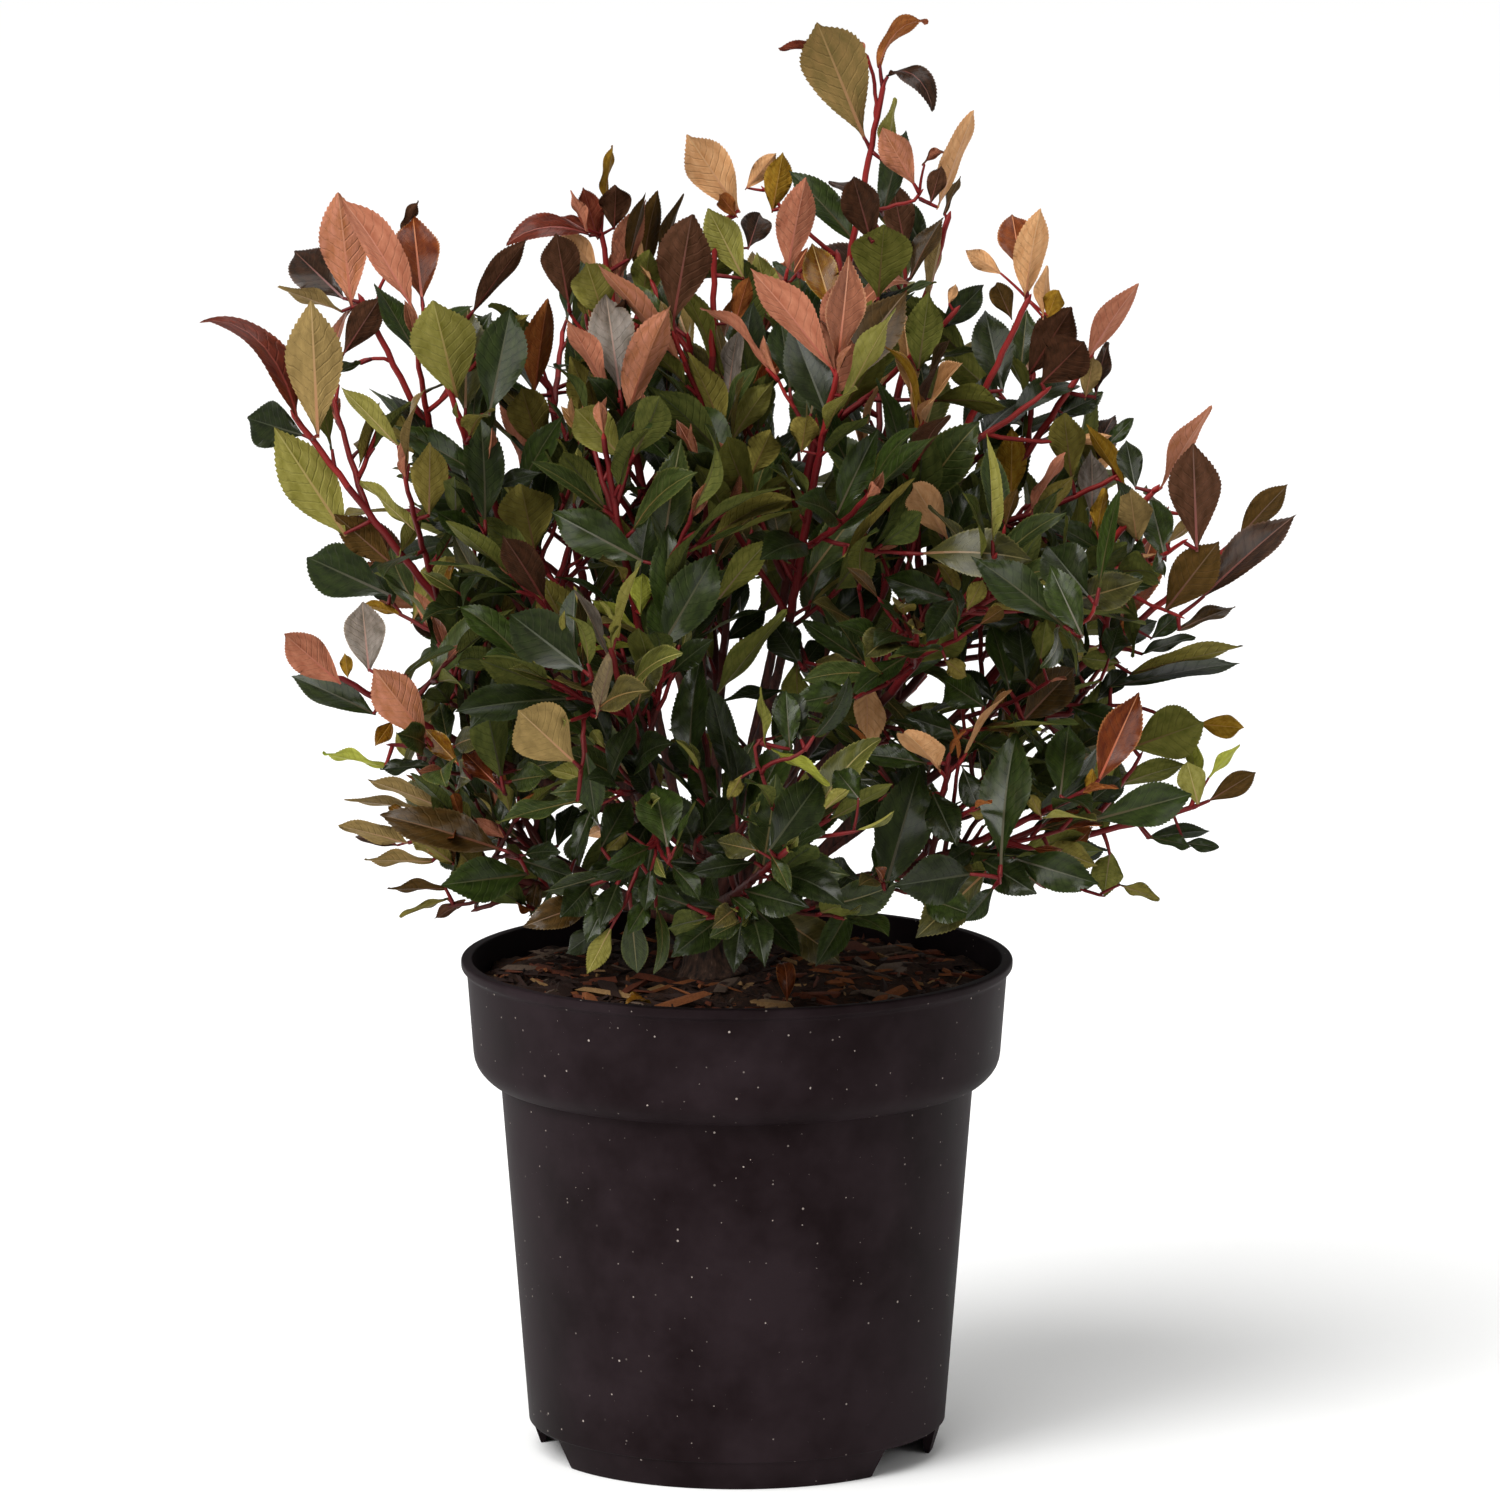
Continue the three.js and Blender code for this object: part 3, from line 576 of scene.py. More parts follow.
def limb_curve(limb, index, curves):
    """The solids' own rule for a limb's curve."""
    random = seeded(100 + index)
    level = level_way(limb.bearing)
    side = np.array([-level[1], level[0], 0.0])
    tip = level * limb.reach + UP * limb.height
    if limb.parent:
        foot = point_at(curves[limb.parent], limb.share * BARE_SHARE)
    else:
        foot = trunk_point(0.35 + 0.5 * ((index * 0.618) % 1))
    chord = tip - foot
    size = np.linalg.norm(chord)
    bow = (next(random) - 0.5) * 0.1
    first = foot + chord / 3 + side * bow * size + level * (6 if limb.parent else 4)
    second = tip - chord / 3 + side * (next(random) - 0.5) * 0.06 * size - UP * 0.03 * size
    return bezier(foot, first, second, tip)


def tube(line, radii, sides, relief=None):
    """Points and triangles of a closed round limb along even points, with a radius for each one."""
    ways = np.gradient(line, axis=0)
    ways /= np.linalg.norm(ways, axis=1)[:, None]
    across = unit(np.cross(ways[0], [0.31, 0.9, 0.28]))
    rows = []
    turn = np.arange(sides) * 2 * math.pi / sides
    far = np.concatenate([[0], np.cumsum(np.linalg.norm(np.diff(line, axis=0), axis=1))])
    for row, (centre, way, radius) in enumerate(zip(line, ways, radii)):
        across = unit(across - way * (across @ way))
        over = np.cross(way, across)
        reach = np.full(sides, float(radius))
        if relief:
            reach += [relief(radius, angle, far[row]) for angle in turn]
        rows.append(centre + np.outer(np.cos(turn) * reach, across) + np.outer(np.sin(turn) * reach, over))
    points = np.concatenate([*rows, [line[0]], [line[-1] + ways[-1] * radii[-1] * 0.6]])
    here = np.arange(sides)
    after = (here + 1) % sides
    faces = []
    for row in range(len(line) - 1):
        low, high = row * sides, (row + 1) * sides
        faces.append(triangles_of(np.stack([low + here, low + after, high + after, high + here], 1)))
    foot, end = len(points) - 2, len(points) - 1
    last = (len(line) - 1) * sides
    faces.append(np.stack([0 * here + foot, after, here], 1))
    faces.append(np.stack([last + here, last + after, 0 * here + end], 1))
    return points, np.concatenate(faces)


def joined(parts):
    """Several sets of points and triangles as one."""
    points, faces = [], []
    count = 0
    for part_points, part_faces in parts:
        points.append(part_points)
        faces.append(part_faces + count)
        count += len(part_points)
    return np.concatenate(points), np.concatenate(faces)


def furrows(depth, scale):
    """Bark relief: furrows that run along the limb, and a low ring at each old leaf scar."""

    def height(radius, angle, far):
        x, y = math.cos(angle) * radius, math.sin(angle) * radius
        place = Vector((x * scale, y * scale, far * scale * 0.22))
        ring = math.exp(-(((far % SCAR_SPACING) - SCAR_SPACING / 2) ** 2) / 0.8) * 0.12
        return depth * noise.fractal(place, 0.8, 2.1, 3) + ring

    return height


def limb_bark(name, furrow, ridge, flake, rough):
    """Old bark: brown, matt and flaked grey in the furrows. A bough's is thinner and redder."""
    material, node = new_material(name)
    place = node("TexCoord").outputs["Object"]
    # Furrows are 1.5 mm apart and about six times as long
    drawn = node("Mapping", {"Vector": place, "Scale": (1.0, 1.0, 0.18)})
    grooves = node("TexNoise", {"Vector": drawn, "Scale": 650.0, "Detail": 5.0, "Roughness": 0.65})
    tone = node("ValToRGB", {"Fac": grooves})
    tone.color_ramp.elements[0].position = 0.36
    tone.color_ramp.elements[0].color = linear(furrow)
    tone.color_ramp.elements[1].position = 0.6
    tone.color_ramp.elements[1].color = linear(ridge)
    pale = tone.color_ramp.elements.new(0.78)
    pale.color = linear(flake)
    edges = node("Bump", {"Height": grooves, "Strength": 0.6, "Distance": 0.0006})
    weathered = node(
        "BsdfPrincipled",
        {"Base Color": tone, "Roughness": rough, "Specular IOR Level": 0.35, "Normal": edges},
    )
    node("OutputMaterial", {"Surface": weathered})
    return material


old_bark = limb_bark("furrowed_old_bark", "#1c120e", "#4a3326", "#75604e", 0.85)
bough_bark = limb_bark("thin_red_brown_bark", "#27120f", "#54291f", "#6d4636", 0.7)

trunk_shares = np.linspace(0, 1, TRUNK_ROWS)
trunk_line = np.array([trunk_point(share) for share in trunk_shares])
# The foot flares over the first few millimetres, and the top is rounded off
trunk_radii = 8.2 + 4.8 * np.exp(-9 * trunk_shares) - 2.0 * trunk_shares
trunk_radii[-3:] *= (0.95, 0.84, 0.62)
trunk_mesh = tube(trunk_line, trunk_radii, 56, furrows(0.9, 0.32))
trunk = mesh_piece("trunk_bark", *trunk_mesh, [old_bark])
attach(trunk, "root")
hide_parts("trunk")

curves = {}
for index, limb in enumerate(LIMBS):
    curves[limb.name] = limb_curve(limb, index, curves)
bough_parts = []
for limb in LIMBS:
    line = stretch(curves[limb.name], 0, BARE_SHARE + 0.004)
    thick = FORKED_RADIUS if limb.parent else BOUGH_RADIUS
    radii = np.linspace(thick, STEM_RADIUS, len(line))
    bough_parts.append(tube(line, radii, 14, furrows(0.22, 0.9)))
boughs = mesh_piece("bough_bark", *joined(bough_parts), [bough_bark])
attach(boughs, "root")
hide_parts(*[f"bough_{limb.name}" for limb in LIMBS])


# The leafy stems and twigs
# They grow on from the boughs by the solids' rule, and carry one more order of finer twigs within
# the same reach. This year's bark is smooth crimson; near the trunk it is a duller wine red, last year's bark
# and also painted shade of the crown's inside.
TWIG_TURN = 137.5
CROWN_DEPTH = 0.97
# The kinds by their order: stem, twig, finer twig and a leaf's own twig. How thick each is at its
# foot and tip, and how many sides it has
OWN_TWIG = 3
SHOOT_RADII = ((1.65, 1.0), (1.25, 0.85), (0.95, 0.65), (0.8, 0.62))
SHOOT_SIDES = (8, 7, 6, 6)
# How far the crown reaches to the left and right at each height
CROWN = np.array(
    [
        (184, 122, 144), (236, 148, 176), (282, 158, 174), (314, 152, 196), (333, 158, 196),
        (357, 174, 160), (391, 193, 142), (426, 160, 122), (447, 90, 104), (497, 40, 90),
    ],
    float,
)


def inside_crown(point, spare=0.0):
    """Whether a point lies inside the crown, which goes over from its left to its right reach."""
    if not CROWN[0, 0] <= point[2] < CROWN[-1, 0]:
        return False
    left, right = (np.interp(point[2], CROWN[:, 0], CROWN[:, i]) for i in (1, 2))
    out = math.hypot(point[0], point[1] / CROWN_DEPTH) + 1e-9
    return out < left + (right - left) * (1 + point[0] / out) / 2 + spare


def round_axis(axis, degrees):
    """A direction at a bearing round an axis, square to it. Bearing 0 is the side nearest to up."""
    up = unit(UP - axis * axis[2])
    return up * math.cos(math.radians(degrees)) + np.cross(axis, up) * math.sin(math.radians(degrees))


class Wood:
    """All limbs as short straight lengths, each with its radius and its owner."""

    def __init__(self):
        self.a, self.b, self.radius, self.owner = np.zeros((0, 3)), np.zeros((0, 3)), np.zeros(0), []

    def add(self, line, steps, radius, owner):
        points = evenly(line, steps)
        self.a = np.concatenate([self.a, points[:-1]])
        self.b = np.concatenate([self.b, points[1:]])
        self.radius = np.concatenate([self.radius, np.full(steps, radius)])
        self.owner = np.concatenate([self.owner, [owner] * steps])

    def middles(self):
        return (self.a + self.b) / 2

    def clearance(self, points, chosen=slice(None)):
        """How far each point is from the bark of each length."""
        a, along = self.a[chosen], self.b[chosen] - self.a[chosen]
        to = points[:, None, :] - a[None]
        share = np.clip((to * along).sum(2) / (along * along).sum(1), 0, 1)
        return np.linalg.norm(to - share[..., None] * along, axis=2) - self.radius[chosen]


limb_wood, shoot_wood = Wood(), Wood()


def twig_curve(stem, share, bearing, angle, reach):
    """A twig that leaves its stem at an angle and bends up a little from its middle."""
    foot, axis = point_at(stem, share), heading(stem, share)
    way = axis * math.cos(math.radians(angle)) + round_axis(axis, bearing) * math.sin(math.radians(angle))
    middle = foot + way * reach / 2
    return bezier(foot, middle, middle + unit(way + 0.3 * UP) * reach / 2)


def twig_fits(line, owner, room, clear):
    """Whether a twig ends inside the crown and keeps off the pot, the limbs and other limbs' twigs."""
    if not inside_crown(line[-1] + heading(line, 1) * room):
        return False
    points = evenly(line, 8)
    if points[:, 2].min() < POT_HEIGHT + 4 or limb_wood.clearance(points[2:]).min() < 3.5:
        return False
    others = shoot_wood.owner != owner
    return not others.any() or shoot_wood.clearance(points, others).min() > clear


shoots = []
for limb in LIMBS:
    curve = curves[limb.name]
    limb_wood.add(stretch(curve, 0, BARE_SHARE), 8, BOUGH_RADIUS, limb.name)
    stem = stretch(curve, BARE_SHARE + 0.3 / length_of(curve), 1)
    shoot_wood.add(stem, 8, STEM_RADIUS, limb.name)
    shoots.append({"limb": limb, "order": 0, "root": None, "line": stem, "bearing": limb.turn + TWIG_TURN})
for number, shoot in enumerate(list(shoots)):
    name, turn, stem = shoot["limb"].name, shoot["limb"].turn, shoot["line"]
    for k in range(3):
        share = 0.07 + k * 0.27
        full = length_of(stem) * (1 - share) * 0.5 + 14
        for shorter in (1, 0.75, 0.5):
            twig = twig_curve(stem, share, turn + k * TWIG_TURN, 42, full * shorter)
            if twig_fits(twig, name, 30, 7):
                shoot_wood.add(twig, 4, 1.05, name)
                grown = {"order": 1, "root": (number, share), "line": twig, "bearing": turn + 90 * k}
                shoots.append({**shoot, **grown})
                break
# Finer twigs: between the stem's own, and up to three on each twig. Low limbs carry more of them
LOW_LIMB = 350
TWIG_SHARES = {
    (0, True): (0.02, 0.2, 0.4),
    (0, False): (0.02, 0.2),
    (1, True): (0.15, 0.4, 0.65),
    (1, False): (0.3,),
}
for number, shoot in enumerate(list(shoots)):
    name, line = shoot["limb"].name, shoot["line"]
    for k, share in enumerate(TWIG_SHARES[shoot["order"], shoot["limb"].height < LOW_LIMB]):
        full = length_of(line) * (1 - share) * (0.38 if shoot["order"] == 0 else 0.6) + 13
        bearing = shoot["bearing"] + 68 + k * TWIG_TURN
        for shorter in (1, 0.7):
            twig = twig_curve(line, share, bearing, 46, full * shorter)
            if twig_fits(twig, name, 24, 5):
                shoot_wood.add(twig, 3, 0.8, name)
                grown = {"order": 2, "root": (number, share), "line": twig, "bearing": bearing + 40}
                shoots.append({**shoot, **grown})
                break


def shoot_bark(name, dark, light, rough):
    """Young bark: smooth and waxy, so it keeps a soft highlight, and its red is deeper in patches."""
    material, node = new_material(name)
    place = node("TexCoord").outputs["Object"]
    # The red fades and deepens over 8 to 15 mm
    flush = node("TexNoise", {"Vector": place, "Scale": 90.0, "Detail": 3.0})
    tone = node("Mix", {"Factor": flush, 6: linear(dark), 7: linear(light)}, data_type="RGBA")
    # Breathing pores are 0.4 mm dots
    pores = node("TexNoise", {"Vector": place, "Scale": 2200.0, "Detail": 1.0})
    dots = node("Bump", {"Height": pores, "Strength": 0.15, "Distance": 0.0002})
    waxy = node(
        "BsdfPrincipled",
        {
            "Base Color": tone.outputs[2],
            "Roughness": rough,
            "Specular IOR Level": 0.28,
            "Specular Tint": linear("#ffd8c8"),
            "Normal": dots,
        },
    )
    node("OutputMaterial", {"Surface": waxy})
    return material


# The wine red bark near the trunk is older bark and also painted shade of the crown's inside
shoot_barks = [
    shoot_bark("wine_bark_and_painted_shade", "#2a0f10", "#55201d", 0.6),
    shoot_bark("this_year_crimson_bark", "#420c11", "#741a1e", 0.45),
    shoot_bark("new_red_bark", "#601317", "#942624", 0.42),
]


# The leaves
# Thin leathery blades with finely toothed edges, folded a little along the midrib and bent back at
# the tip. They grow in turn round each shoot on red stalks, and crowd at its end.
LEAF_LENGTH = 43.0
LEAF_SPACING = 8.5
TEETH = 23
# Half width along the blade: wedge-shaped at the stalk, widest at the middle, pointed at the tip
LEAF_PROFILE = np.array(
    [
        (0, 0.03), (0.05, 0.09), (0.12, 0.25), (0.22, 0.52), (0.34, 0.79), (0.46, 0.96),
        (0.56, 1.0), (0.66, 0.91), (0.76, 0.7), (0.86, 0.4), (0.94, 0.15), (1, 0),
    ]
)
# One blade as a template of points. Each has its station along the blade, its share across, what is
# added across, its surface (1 upper, -1 under, 0 the edge) and whether it is on the midrib. The first
# three are the two corners of the foot and the tip
template = [(0, 0, -0.5, 0, 1), (0, 0, 0.5, 0, 1), (1, 0, 0, 0, 1)]
HALF_WAY = 0.52
HALF_STATIONS = np.linspace(0.08, 0.93, 8)
RIB_STATIONS = np.linspace(0.1, 0.9, 7)


def added(rows):
    """Adds points to the template and gives their numbers."""
    first = len(template)
    template.extend(rows)
    return list(range(first, len(template)))


def strip(left, right, stations):
    """Triangles between two rows of points, facing up when left lies to the left."""
    faces, i, j = [], 0, 0
    while i < len(left) - 1 or j < len(right) - 1:
        behind = i < len(left) - 1 and stations[left[i + 1]] <= stations[right[min(j + 1, len(right) - 1)]]
        go_left = j == len(right) - 1 or behind
        faces.append((left[i], right[j], left[i + 1] if go_left else right[j + 1]))
        i, j = (i + 1, j) if go_left else (i, j + 1)
    return [face for face in faces if len(set(face)) == 3]


edges_of, halves, ribs = {}, {}, {}
for side in (-1, 1):
    edge = [(station, side, 0, 0, 0) for station in (0.03, 0.065)]
    for tooth in range(TEETH):
        notch = 0.1 + 0.88 * tooth / TEETH
        depth = 0.36 * min(1, 0.5 + tooth / 4, (TEETH - tooth) / 4)
        edge += [(notch, side, -0.07 * side, 0, 0), (notch + 0.028, side, depth * side, 0, 0)]
    edges_of[side] = [int(side > 0)] + added(edge) + [2]
    for face in (1, -1):
        halves[side, face] = added([(station, side * HALF_WAY, 0, face, 0) for station in HALF_STATIONS])
        rib = [(station, 0, side * 0.5 * (1 - 0.72 * station), face, 1) for station in RIB_STATIONS]
        ribs[side, face] = [int(side > 0)] + added(rib) + [2]
template = np.array(template, float)
# Slot 0 is a blade's upper skin, 1 its underside and 2 its midrib
blade_faces, blade_slots = [], []
for face in (1, -1):
    for left, right, is_rib in (
        (edges_of[-1], halves[-1, face], False),
        (halves[-1, face], ribs[-1, face], False),
        (ribs[-1, face], ribs[1, face], True),
        (ribs[1, face], halves[1, face], False),
        (halves[1, face], edges_of[1], False),
    ):
        faces = strip(left, right, template[:, 0])
        blade_faces += faces if face > 0 else [corners[::-1] for corners in faces]
        blade_slots += [2 if is_rib else (0 if face > 0 else 1)] * len(faces)
blade_faces, blade_slots = np.array(blade_faces), np.array(blade_slots)
on_edge = np.zeros(len(template), bool)
on_edge[[i for side in (-1, 1) for i in edges_of[side]]] = True
on_rib = np.zeros(len(template), bool)
on_rib[[i for rows in ribs.values() for i in rows]] = True
# The few points by which a blade is tried against its neighbours: left, middle and right at five
# stations. Numbers 4, 7 and 10 lie on the midrib, 7 half way along it and 13 at the tip
TRIAL = np.array([(s, t, 0, 1, 0) for s in (0.1, 0.32, 0.55, 0.78, 1.0) for t in (-1, 0, 1)], float)
TRIAL[-3:, 1] *= 0.0
TRIAL_CELL = ((0, 1, 4), (0, 4, 3), (1, 2, 5), (1, 5, 4))
TRIAL_FACES = [(a + r, b + r, c + r) for r in (0, 3, 6, 9) for a, b, c in TRIAL_CELL]


def blade_points(blade, rows):
    """A blade's points for template rows, in its own frame: across, along and up from its stalk."""
    station, share, extra, surface_side, rib = rows.T
    long, half, bend, fold, wave, phase, skew, twist = blade
    fine = np.linspace(0, 1, 41)
    slope = bend * (0.36 - 1.25 * fine**1.6)
    run = np.concatenate([[0], np.cumsum((np.cos(slope[1:]) + np.cos(slope[:-1])) / 80)]) * long
    rise = np.concatenate([[0], np.cumsum((np.sin(slope[1:]) + np.sin(slope[:-1])) / 80)]) * long
    along, up, lean = (np.interp(station, fine, row) for row in (run, rise, slope))
    width = half * np.interp(station**skew, LEAF_PROFILE[:, 0], LEAF_PROFILE[:, 1])
    # Each tooth leans forward by about its own depth
    across = share * width + extra * long / 42
    forward = np.maximum(extra * np.sign(share), 0) * (np.abs(share) == 1) * 0.9
    lift = np.abs(across) * fold * (1 - 0.35 * np.abs(share))
    lift += wave * share**2 * np.sin(2 * math.pi * 1.7 * station + phase + share)
    # The blade is 0.3 mm thick, and its midrib stands out below
    lift += surface_side * 0.16 - 0.26 * rib * (surface_side < 0) - 0.1 * rib * (surface_side > 0)
    turn = twist * station
    side_way = across * np.cos(turn) - lift * np.sin(turn)
    lift = across * np.sin(turn) + lift * np.cos(turn)
    ahead = along + forward * np.cos(lean) - lift * np.sin(lean)
    return np.stack([side_way, ahead, up + forward * np.sin(lean) + lift * np.cos(lean)], 1)


def trial_of(points):
    return BVHTree.FromPolygons([tuple(point) for point in points], TRIAL_FACES)


# Where each leaf is: its hue, its blade, its three ways (across, along and up), the places of its base
# and of its stalk's foot, and the share and number of the shoot that carries it
leaves = []
leaf_middles, leaf_trials = [], []


def place_leaf(hue, blade, ways, base, foot, share, number, points, trial):
    leaves.append((hue, blade, ways, base, foot, share, number))
    leaf_middles.append(points.mean(0))
    leaf_trials.append(trial)


# Blades whose middles are further apart than this aren't tried against each other
NEIGHBOUR_REACH = 42


def neighbours(middle):
    """The trial blades near a place."""
    if not leaf_middles:
        return []
    near = np.linalg.norm(np.array(leaf_middles) - middle, axis=1) < NEIGHBOUR_REACH
    return [leaf_trials[number] for number in np.flatnonzero(near)]


# The leaves that show best
# They lie one by one as they show in the photograph. Each grows on a shoot near it, on a twig of its
# own where that is far off.
PHOTO_SIDE = 1500
# A blade that starts further than this from its shoot gets a twig of its own
SHOWN_STALK = 12.0
# What a millimetre nearer to the eye is worth in pixels, for a broad blade and for a narrow one
FORWARD_BROAD, FORWARD_NARROW = 0.5, 0.18
BROAD_BLADE = 34
# The least and the greatest half width as a share of the length, and how far a curled blade is at
# least turned about its length, in radians
SLIMMEST, BROADEST = 0.2, 0.31
CURLED_ROLL = 0.85
# How far a blade may move to or from the eye to find a free place, the first one first
SHOWN_SHIFTS = (0, -7, 7, -14, 14, -21, -28, -36)
